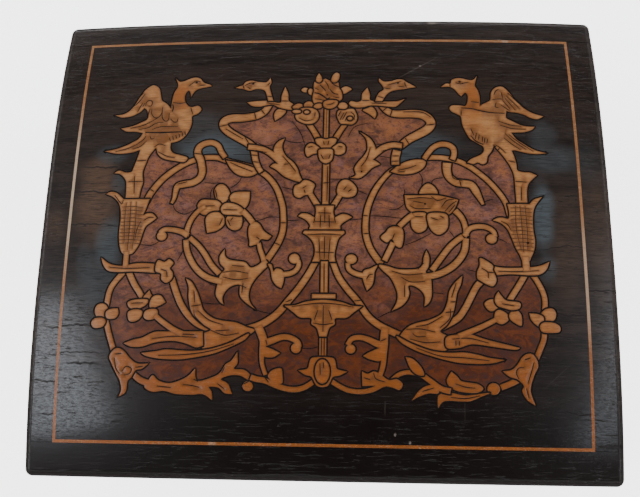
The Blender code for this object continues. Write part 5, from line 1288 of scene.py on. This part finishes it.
class Paint:
    """A material under construction, around its own Principled shader."""

    def __init__(self, name: str, **constants: float) -> None:
        """Starts a material.

        Args:
            name: its name.
            constants: its shader's constant values, with spaces written as underscores.
        """
        self.material = bpy.data.materials.new(name)
        self.material.use_nodes = True
        self.tree = self.material.node_tree
        self.shader = next(n for n in self.tree.nodes if n.type == "BSDF_PRINCIPLED")
        for socket, value in constants.items():
            self.shader.inputs[socket.replace("_", " ")].default_value = value
        where = self.node("ShaderNodeTexCoord", output="Object")
        self.place = self.node("ShaderNodeVectorMath", {"operation": "SCALE"}, {0: where, "Scale": 1 / MM})
        parts = self.tree.nodes.new("ShaderNodeSeparateXYZ")
        self.tree.links.new(self.place.socket, parts.inputs[0])
        self.x, self.y = (Value(self, parts.outputs[i]) for i in range(2))

    def node(self, kind: str, settings: Union[dict, None] = None, inputs: Union[dict, None] = None,
             output: Union[int, str] = 0) -> Value:
        """Adds any node.

        Args:
            kind: the node's type.
            settings: its properties, which are set first.
            inputs: values or links for its sockets, by name or number.
            output: the output to return, by name or number.

        Returns:
            The output, ready for arithmetic.
        """
        made = self.tree.nodes.new(kind)
        for key, value in (settings or {}).items():
            setattr(made, key, value)
        for key, value in (inputs or {}).items():
            if isinstance(value, Value):
                self.tree.links.new(value.socket, made.inputs[key])
            else:
                made.inputs[key].default_value = value
        return Value(self, made.outputs[output])

    def math(self, operation: str, *values: Number, clamp: bool = False) -> Value:
        """One Math node over one to three numbers or sockets."""
        return self.node("ShaderNodeMath", {"operation": operation, "use_clamp": clamp}, dict(enumerate(values)))

    def times(self, value: Value, factor: Number) -> Value:
        """The product, kept between 0 and 1."""
        return self.math("MULTIPLY", value, factor, clamp=True)

    def ramp(self, value: Value, low: float, high: float) -> Value:
        """0 below the low value, 1 above the high one, and a smooth step between them."""
        return self.node("ShaderNodeMapRange", {"interpolation_type": "SMOOTHSTEP"},
                         {"Value": value, "From Min": low, "From Max": high})

    def mix(self, share: Number, first: Shade, second: Shade) -> Value:
        """A blend of two colours."""
        ready = [shade if isinstance(shade, Value) else (*shade, 1.0) for shade in (first, second)]
        return self.node("ShaderNodeMix", {"data_type": "RGBA"}, {0: share, 6: ready[0], 7: ready[1]}, 2)

    def layers(self, base: Shade, *coats: tuple[Number, Shade]) -> Shade:
        """Lays colours over a base one after another.

        Args:
            base: the first colour.
            coats: for each coat its mask and its colour.

        Returns:
            The last mix.
        """
        for mask, shade in coats:
            base = self.mix(mask, base, shade)
        return base

    def attribute(self, name: str) -> Value:
        """One of the mesh's own attributes."""
        return self.node("ShaderNodeAttribute", {"attribute_name": name}, output="Fac")

    def stretched(self, scale: Sequence[float], turn: float = 0.0) -> Value:
        """The place in millimetres, scaled along each axis and turned about the vertical by some degrees."""
        return self.node("ShaderNodeMapping", {}, {"Vector": self.place, "Scale": scale,
                                                   "Rotation": (0, 0, math.radians(turn))})

    def noise(self, scale: Union[float, Sequence[float]], detail: float = 3.0, twist: float = 0.0,
              rough: float = 0.55, turn: float = 0.0) -> Value:
        """Adds soft noise from 0 to 1.

        Args:
            scale: its cells per millimetre, or those along each axis.
            detail: how many finer layers it has.
            twist: how far it is distorted.
            rough: how strong the finer layers are.
            turn: how far noise with a scale for each axis is turned about the vertical, in degrees.

        Returns:
            The noise.
        """
        even = np.ndim(scale) == 0
        return self.node("ShaderNodeTexNoise", {}, {
            "Vector": self.place if even else self.stretched(scale, turn), "Scale": scale if even else 1.0,
            "Detail": detail, "Roughness": rough, "Distortion": twist})

    def set(self, **sockets: Value) -> None:
        """Links values to the shader's own sockets, with spaces written as underscores."""
        for socket, value in sockets.items():
            self.tree.links.new(value.socket, self.shader.inputs[socket.replace("_", " ")])

    def bump(self, height: Value, strength: float, distance: float) -> None:
        """Bumps the surface by a height, over a distance in metres."""
        inputs = {"Strength": strength, "Distance": distance, "Height": height}
        self.set(Normal=self.node("ShaderNodeBump", {}, inputs))

    def dress(self, made: bpy.types.Object) -> None:
        """Gives the material to an object."""
        made.data.materials.clear()
        made.data.materials.append(self.material)


class Grain(Enum):
    """The way that a board's grain runs: how its pattern is scaled along each axis, and that of its checks."""

    X = ((0.045, 1.0, 1.0), (0.10, 1.5, 1.5))
    Y = ((1.0, 0.045, 1.0), (1.5, 0.10, 1.5))


@dataclass(frozen=True)
class Patch:
    """A soft-edged oval of a finish in the plan, with its strength from 0 to 1."""

    x: float
    y: float
    reach_x: float
    reach_y: float
    strength: float
    slope: float = 0.0
    soft: float = 0.5

    def mask(self, paint: Paint, ragged: Number = 0.0, lift: Number = 0.0) -> Value:
        """Draws the patch: its strength inside, falling to 0 across the edge.

        Args:
            paint: the material that it is drawn in.
            ragged: noise that moves its edge.
            lift: noise that moves its middle line towards the front.

        Returns:
            The mask.
        """
        lift = (paint.x - self.x) * -self.slope + lift
        off = ((paint.x - self.x) / self.reach_x) ** 2.0 + ((paint.y + lift - self.y) / self.reach_y) ** 2.0
        return (1 - paint.ramp(paint.math("SQRT", off) + ragged, 1 - self.soft, 1 + self.soft)) * self.strength


def patches(*rows: tuple[float, ...]) -> tuple[Patch, ...]:
    """One patch for each row of its x, y, reaches, strength and, for some, slope."""
    return tuple(Patch(*row) for row in rows)


@dataclass(frozen=True)
class DarkPolish:
    """Near-black polished veneer with long fine grain, short checks across it, wear, and bluish patches that are
    partly varnish bloom and partly painted sheen.
    """

    name: str
    grain: Grain = Grain.X
    deep: Colour = (0.0048, 0.0022, 0.0017)
    light: Colour = (0.0300, 0.0190, 0.0145)
    # The colour of the bluish patches: partly varnish bloom, partly painted sheen.
    bloom_and_sheen: Colour = (0.060, 0.072, 0.080)
    worn: Colour = (0.088, 0.050, 0.031)
    bare: Colour = (0.200, 0.165, 0.140)
    blooms_and_sheens: Sequence[Patch] = ()
    worns: Sequence[Patch] = ()
    cracks: Sequence[Patch] = ()
    nicks: Sequence[Patch] = ()
    gloss: float = 1.0
    rim: tuple[float, float] = (122.2, 102.7)
    # Where the painted haze of the light grain fades out towards the front.
    front: tuple[float, float] = (-86.0, -46.0)

    def make(self) -> Paint:
        """Mixes deep and light along the grain, then lays wear, and bluish patches of varnish bloom with painted
        sheen, over it in ragged patches.

        Returns:
            The finish.
        """
        paint = Paint(self.name, IOR=1.36, Coat_Roughness=0.15, Roughness=0.34, Specular_IOR_Level=0.4)
        along = np.array(self.grain.value[0])
        fine, broad = paint.noise(along * 2.2, 5.0, 0.25), paint.noise(along * 0.22, 3.0, 0.5)
        cloud, weave = paint.noise(0.05), paint.noise(1.4, 4.0)
        wander = paint.noise((0.09, 0.012, 0.012), 5.0)
        # The light grain is kept to the back and fades to near black at the front: the paler back is painted haze
        # of reflection.
        back = paint.ramp(paint.y + (cloud - 0.5) * 20.0, *self.front)
        share = paint.times(paint.ramp(fine * 0.6 + broad * 0.4, 0.33, 0.68), back)
        streak = paint.ramp(fine, 0.40, 0.62)
        ragged = (cloud - 0.5) * 1.5 + (fine - 0.5) * 1.1
        check = paint.ramp(paint.noise(self.grain.value[1], 3.0, 0.8), 0.60, 0.66)
        for crack in self.cracks:
            check = paint.math("MAXIMUM", check, crack.mask(paint, lift=(wander - 0.5) * 7.0))
        paint.set(Base_Color=paint.layers(
            paint.mix(share, self.deep, self.light),
            *((patch.mask(paint, ragged) * (streak * 0.5 + 0.5), self.worn) for patch in self.worns),
            # Bluish patches: partly varnish bloom, partly painted sheen.
            *((patch.mask(paint, ragged) * (streak * 0.45 + 0.55), self.bloom_and_sheen) for patch in self.blooms_and_sheens),
            (check * 0.85, self.deep), *((nick.mask(paint), self.bare) for nick in self.nicks)))
        past = [paint.math("ABSOLUTE", off) - rim for off, rim in zip((paint.x, paint.y), self.rim)]
        edge = paint.ramp(paint.math("MAXIMUM", *past), 0.0, 1.4)
        speck = paint.ramp(paint.noise((0.6, 1.5, 1.5), 5.0, 0.6), 0.36, 0.60) * 0.34 + 0.22
        paint.set(Roughness=0.30 + cloud * 0.10 + check * 0.2 + edge * 0.6,
                  Coat_Weight=paint.math("SUBTRACT", speck * self.gloss, check * 0.4 + edge * 0.5, clamp=True))
        paint.bump(fine * 0.5 + weave * 0.5 - check, 0.4, 0.00014)
        return paint


@dataclass(frozen=True)
class Fruitwood:
    """Golden close-grained wood, deep orange to the front, with painted shade round the edge of each piece."""

    name: str
    gold: Colour = (0.385, 0.162, 0.052)
    pale: Colour = (0.490, 0.255, 0.108)
    orange: Colour = (0.262, 0.069, 0.006)
    brown: Colour = (0.120, 0.040, 0.008)
    grey: Colour = (0.250, 0.165, 0.105)
    pales: Sequence[Patch] = ()
    reds: Sequence[Patch] = ()
    # How strong the painted shade round each piece's rim is.
    rim_shade: float = 0.8
    front: tuple[float, float] = (-66.0, -14.0)

    def make(self) -> Paint:
        """Mixes gold and brown along a fine grain, lightened by each piece's own tone, and darkened at its rim by
        painted shade.

        Returns:
            The finish.
        """
        paint = Paint(self.name, IOR=1.45, Roughness=0.42, Coat_Roughness=0.22, Specular_IOR_Level=0.3)
        tone, rim = paint.attribute("tone"), paint.attribute("rim")
        fine, broad = paint.noise((0.22, 3.2, 3.2), 5.0, 0.3), paint.noise((0.07, 0.6, 0.6), 4.0, 0.8)
        blot, fleck = paint.noise(0.16, 3.0, 0.5), paint.noise(1.6)
        # Deep orange to the front, paler gold to the back; the paler back is partly painted haze of reflection.
        front = 1 - paint.ramp(paint.y + (broad - 0.5) * 26.0, *self.front)
        gold, pale = paint.mix(front, self.gold, self.orange), paint.mix(front * 0.85, self.pale, self.orange)
        grain = 1 - paint.ramp(fine * 0.65 + broad * 0.35, 0.34, 0.56)
        cracks = paint.ramp(paint.noise((0.35, 5.5, 5.5), 3.0, 0.4), 0.60, 0.68)
        paint.set(Base_Color=paint.layers(
            gold, (paint.times(tone + 0.1, 1.0), pale), (paint.times(tone, -0.7), self.brown),
            (paint.ramp(blot, 0.44, 0.70) * 0.55, paint.mix(0.5, self.orange, gold)), (grain * 0.6, self.brown),
            (paint.ramp(fleck * 0.6 + broad * 0.4, 0.53, 0.66) * 0.35, self.grey),
            *((patch.mask(paint, (fine - 0.5) * 0.8), self.grey) for patch in self.pales),
            *((patch.mask(paint, (broad - 0.5) * 1.2), self.orange) for patch in self.reds),
            # Painted shade: brown round each piece's rim, next to its saw line.
            (cracks * 0.7, self.brown), (paint.times(rim ** 1.5 + (blot - 0.5) * 0.4, self.rim_shade), self.brown)))
        paint.set(Roughness=0.36 + fine * 0.16, Coat_Weight=0.3 - cracks * 0.2)
        paint.bump(fine * 0.7 - cracks * 0.8 - grain * 0.3, 0.5, 0.00012)
        return paint


@dataclass(frozen=True)
class Burl:
    """Mottled burl: red-brown with rusty patches and dark smudges, deep red to the front, and hazy and violet
    towards the back, partly varnish bloom and partly painted sheen.
    """

    name: str = "red_brown_burl"
    haze_and_sheen: Colour = (0.205, 0.078, 0.047)
    rust: Colour = (0.270, 0.098, 0.034)
    violet_bloom_and_sheen: Colour = (0.165, 0.080, 0.080)
    bright: Colour = (0.310, 0.130, 0.075)
    red: Colour = (0.066, 0.0145, 0.0035)
    ember: Colour = (0.135, 0.034, 0.007)
    dark: Colour = (0.046, 0.020, 0.016)
    ink: Colour = (0.020, 0.016, 0.020)
    front: tuple[float, float] = (-46.0, -6.0)
    rusty_cloud: Patch = Patch(20.0, 48.0, 26.0, 12.0, 0.6)

    def make(self) -> Paint:
        """Mixes the colours by swirled noise of three sizes, and darkens eyes and smudges, and the sawn rim with
        painted shade.

        Returns:
            The finish.
        """
        paint = Paint(self.name, IOR=1.4, Roughness=0.38, Coat_Roughness=0.18, Specular_IOR_Level=0.3)
        rim, broad = paint.attribute("rim"), paint.noise(0.045, 2.0)
        swirl = paint.noise((0.13, 0.20, 0.20), 5.0, 2.0, 0.6)
        other = paint.noise((0.11, 0.15, 0.15), 4.0, 1.6, turn=40.0)
        curl = paint.noise((0.5, 1.1, 1.1), 5.0, 1.8, 0.65, 12.0)
        glow = paint.noise((0.05, 0.11, 0.11), 3.0, 1.2, turn=20.0)
        # Deep red to the front; towards the back the hazy and violet colours are partly varnish bloom, partly
        # painted sheen.
        front = 1 - paint.ramp(paint.y + (broad - 0.5) * 50.0 - paint.x * 0.10, *self.front)
        rusty, bright = paint.mix(front, self.rust, self.ember), paint.mix(front, self.bright, self.ember)
        cells = paint.node("ShaderNodeTexVoronoi", {"feature": "F1"},
                           {"Vector": paint.stretched((0.12, 0.16, 0.16)), "Scale": 1.0, "Randomness": 1.0})
        eyes = 1 - paint.ramp(cells + (curl - 0.5) * 0.4, 0.04, 0.20)
        paint.set(Base_Color=paint.layers(
            paint.mix(front, self.haze_and_sheen, self.red), (paint.ramp(swirl, 0.46, 0.62) * 0.75, rusty),
            (paint.ramp(other, 0.50, 0.66) * (1 - front) * 0.75, self.violet_bloom_and_sheen),
            (self.rusty_cloud.mask(paint, (broad - 0.5) * 1.2), self.rust),
            (paint.ramp(1 - swirl, 0.50, 0.64) * 0.7, self.dark), (paint.ramp(glow, 0.50, 0.64) * 0.45, bright),
            (paint.ramp(1 - glow, 0.54, 0.68) * 0.5, self.dark), (eyes * 0.75, self.ink),
            (paint.ramp(curl, 0.50, 0.62) * 0.55, self.dark), (paint.ramp(1 - curl, 0.54, 0.66) * 0.35, rusty),
            # Painted shade: dark along the burl's sawn rim, next to the saw lines.
            (paint.times(rim + (curl - 0.5) * 0.6, 0.55), self.dark)))
        paint.set(Roughness=0.32 + curl * 0.16, Coat_Weight=0.3 - eyes * 0.25)
        paint.bump(curl * 0.7 + swirl * 0.3 - eyes * 0.5, 0.5, 0.00014)
        return paint


@dataclass(frozen=True)
class Filler:
    """The dark matt filler in saw lines, seams and engraved lines."""

    name: str = "dark_filler"
    colour: Colour = (0.0050, 0.0028, 0.0020)
    dusty: Colour = (0.0160, 0.0090, 0.0060)

    def make(self) -> Paint:
        """Mixes the filler with dust by soft noise."""
        paint = Paint(self.name, Roughness=0.7, Specular_IOR_Level=0.15)
        dust = paint.noise(0.8, 4.0)
        paint.set(Base_Color=paint.mix(paint.ramp(dust, 0.45, 0.75), self.colour, self.dusty))
        paint.bump(dust, 0.4, 0.0001)
        return paint


@dataclass(frozen=True)
class PlainBoard:
    """The plain brown board of the carcass."""

    name: str = "plain_board"
    brown: Colour = (0.105, 0.055, 0.030)
    dark: Colour = (0.040, 0.022, 0.013)

    def make(self) -> Paint:
        """Mixes brown and dark along the grain."""
        paint = Paint(self.name, Roughness=0.62)
        fine, broad = paint.noise((0.05, 1.4, 1.4), 5.0, 0.4), paint.noise((0.02, 0.3, 0.3), 3.0, 0.8)
        paint.set(Base_Color=paint.mix(paint.ramp(fine * 0.6 + broad * 0.4, 0.35, 0.65), self.dark, self.brown))
        paint.set(Roughness=0.55 + fine * 0.2)
        paint.bump(fine, 0.5, 0.00015)
        return paint


# Bluish patches on the lid's dark veneer, partly varnish bloom and partly painted sheen.
BLOOM_AND_SHEEN_PATCHES = patches(
    (-51, 36, 12, 6, 0.9), (-38, 38, 13, 8, 0.7), (-58, 46, 16, 9, 0.35), (-95, 35, 7, 4, 0.5),
    (-91, 21, 3, 4, 0.5), (-93, -5, 5, 9, 0.7), (-96, -22, 7, 10, 0.4), (-104, -16, 3, 8, 0.3),
    (42, 36, 18, 8, 0.7), (95, 4, 4.5, 15, 1), (96, -16, 4, 6, 0.5), (100, 32, 11, 6, 0.55), (97, 44, 6, 6, 0.4),
    (116, 30, 6, 10, 0.2))
WORNS = patches(
    (-101, 13, 9.5, 15, 1), (-103, 28, 8, 5, 0.6), (-119, 2, 5, 8, 0.5), (-60, 58, 60, 14, 0.14),
    (70, 60, 50, 14, 0.12), (105, -8, 8, 22, 0.4), (118, 0, 6, 26, 0.4))
CRACKS = patches(
    (-101, 28.8, 10, 0.35, 1), (-101, 16.6, 10, 0.4, 1), (-106, 1.4, 14, 0.3, 1), (-107, -43, 12, 0.4, 1),
    (-106, -54.5, 14, 0.22, 1), (-100, -59, 7, 0.45, 1), (-117, -66, 6, 0.35, 1), (-116, -80, 4, 0.3, 1),
    (102, -8, 10, 0.25, 0.9), (114, 0.5, 6, 0.25, 0.9), (118, -26, 7, 0.3, 1), (104, -37, 8, 0.25, 0.9),
    (107, -76.5, 6, 0.3, 1), (115, -79, 4, 0.3, 1), (119, -89.5, 6, 0.8, 1))
NICKS = patches(
    (43.9, 78.7, 0.5, 0.45, 0.6), (31.2, -86.3, 0.45, 0.6, 0.6), (37.3, -89.4, 0.45, 0.6, 0.6),
    (41.6, 77, 9.5, 0.22, 0.22, 0.63), (27.1, -75.7, 0.25, 3, 0.1), (59.7, -76, 0.2, 5, 0.08),
    (50.3, 103.6, 2.4, 0.8, 0.5), (98, -62, 6, 0.2, 0.08, 0.9), (82.4, 93.4, 2, 0.4, 0.35, -0.4))
PALES = patches(
    (-112, 18, 6, 30, 1), (112, -22, 6, 22, 0.6), (83.8, 92.6, 1.4, 3, 0.5), (-44.1, -91, 1.6, 3, 0.3))
REDS = patches(
    (-66, 63, 4.5, 7, 0.75), (67, 62, 4.5, 9, 0.75), (1.5, 65, 6.5, 7, 0.45), (66, 53, 5, 8, 0.3),
    (-82, -16, 14, 3, 0.3))
CASE_LIGHT = (0.0120, 0.0066, 0.0048)
CASE_GLOSS = 0.1
WHITE = (1.0, 1.0, 1.0)


@dataclass(frozen=True)
class Light:
    """A large soft light: where it stands and what it faces, its width and height in metres, and its watts."""

    name: str
    place: tuple[float, float, float]
    aim: tuple[float, float, float]
    size: tuple[float, float]
    power: float
    colour: Colour = WHITE

    def make(self) -> None:
        """Adds the light, turned from its place to its aim."""
        data = bpy.data.lights.new(self.name, "AREA")
        data.shape = "RECTANGLE"
        data.size, data.size_y = self.size
        data.energy, data.color = self.power, self.colour
        made = put(self.name, data)
        made.location = self.place
        made.rotation_euler = (Vector(self.aim) - Vector(self.place)).to_track_quat("-Z", "Y").to_euler()


BOX_MIDDLE = (0, 0, 0.1)
LIGHTS = (
    Light("key_back", (-0.3, 3.2, 0.7), BOX_MIDDLE, (3.2, 0.9), 32.0),
    Light("key_right", (3.0, 0.1, 1.2), BOX_MIDDLE, (3.4, 1.8), 101.0),
    Light("key_left", (-3.0, 0.1, 1.2), BOX_MIDDLE, (3.4, 1.8), 101.0),
    Light("fill_front", (0.3, -3.1, 1.1), BOX_MIDDLE, (3.2, 1.7), 66.0),
    Light("ceiling", (0.1, 0.85, 2.0), (0, 0.05, 0.1), (3.2, 1.2), 2.4, (1.0, 0.92, 0.87)),
    Light("sheen_left", (-0.85, -0.20, 1.25), (-0.1, -0.03, 0.1), (0.62, 0.30), 4.6, (0.86, 0.92, 1.0)),
    Light("sheen_right", (0.85, -0.12, 1.35), (0.12, 0, 0.1), (0.95, 0.14), 2.0, (0.84, 0.91, 1.0)),
)


@dataclass
class Studio:
    """The pale floor, the soft lights and the camera."""

    flat: float = 3.6
    rise: float = 1.8
    sectors: int = 96
    glow: float = 3.2
    bright: tuple[float, float] = (350.0, 1600.0)
    lens: float = 42.75
    camera_place: Sequence[float] = (0.01533, -0.08970, 0.42453)
    camera_turn: Sequence[float] = (14.343, 2.633, 0.952)

    def floor(self) -> None:
        """Lays a pale sheet that rises all round, far from the box: a profile carried round the upright."""
        bend = np.linspace(0, math.pi / 2, 9)
        radius = np.concatenate([[0.02, 0.4, 1.5, 3.0], self.flat + self.rise * np.sin(bend)])
        height = np.concatenate([[0.0, 0.0, 0.0, 0.0], self.rise * (1 - np.cos(bend))])
        turn = np.linspace(0, 2 * math.pi, self.sectors, endpoint=False)[:, None]
        points = np.stack([radius * np.cos(turn), radius * np.sin(turn), height + 0 * turn], axis=-1)
        rows = len(radius)
        around, out = np.meshgrid(np.arange(self.sectors), np.arange(rows - 1), indexing="ij")
        own, after = around * rows + out, (around + 1) % self.sectors * rows + out
        quads = np.stack([own, own + 1, after + 1, after], axis=-1).reshape(-1, 4)
        mesh = bpy.data.meshes.new("floor")
        middle = (np.arange(self.sectors) * rows).tolist()
        mesh.from_pydata(points.reshape(-1, 3).tolist(), [], quads.tolist() + [middle])
        mesh.shade_smooth()
        made = put("floor", mesh)
        paint = Paint("pale_floor", Roughness=0.9, Emission_Strength=self.glow)
        far = paint.ramp(paint.math("SQRT", paint.x ** 2.0 + paint.y ** 2.0), *self.bright)
        paint.set(Base_Color=paint.mix(paint.noise(0.004, 2.0), (0.90, 0.90, 0.90), (0.93, 0.93, 0.93)),
                  Emission_Color=paint.mix(far, WHITE, (0.25, 0.25, 0.25)))
        paint.dress(made)

    def lights(self) -> None:
        """Lights the box softly from low all round, so that the lid mirrors only the dim light above it.

        Two cool lights above the ends give the lid's sheen, a broad one on the left and a weaker one on the right.
        """
        world = bpy.data.worlds.new("studio")
        world.use_nodes = True
        back = world.node_tree.nodes["Background"]
        back.inputs["Color"].default_value = (0.85, 0.9, 1.0, 1.0)
        back.inputs["Strength"].default_value = 0.02
        bpy.context.scene.world = world
        for light in LIGHTS:
            light.make()

    def camera(self) -> None:
        """Sets the camera where the photograph was taken: above the front, looking almost straight down."""
        data = bpy.data.cameras.new("camera")
        data.lens = self.lens
        data.sensor_width = 36.0
        data.clip_start = 0.01
        made = put("camera", data)
        made.location = self.camera_place
        made.rotation_euler = [math.radians(angle) for angle in self.camera_turn]
        bpy.context.scene.camera = made


def main() -> None:
    """Builds and dresses the box in order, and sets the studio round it."""
    logging.basicConfig(level=logging.INFO, format="%(name)s: %(message)s")
    crown = Crown(cad_highest.x / MM, cad_highest.y / MM, cad_highest.z / MM)
    marquetry = Marquetry(crown)
    marquetry.build()
    marquetry.dress()
    sides = DarkPolish("dark_case_veneer", light=CASE_LIGHT, gloss=CASE_GLOSS).make()
    LidBody(crown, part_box("lid")[0].z / MM).build(sides)
    Case().build(sides)
    studio = Studio()
    studio.floor()
    studio.lights()
    studio.camera()


if __name__ == "__main__":
    main()
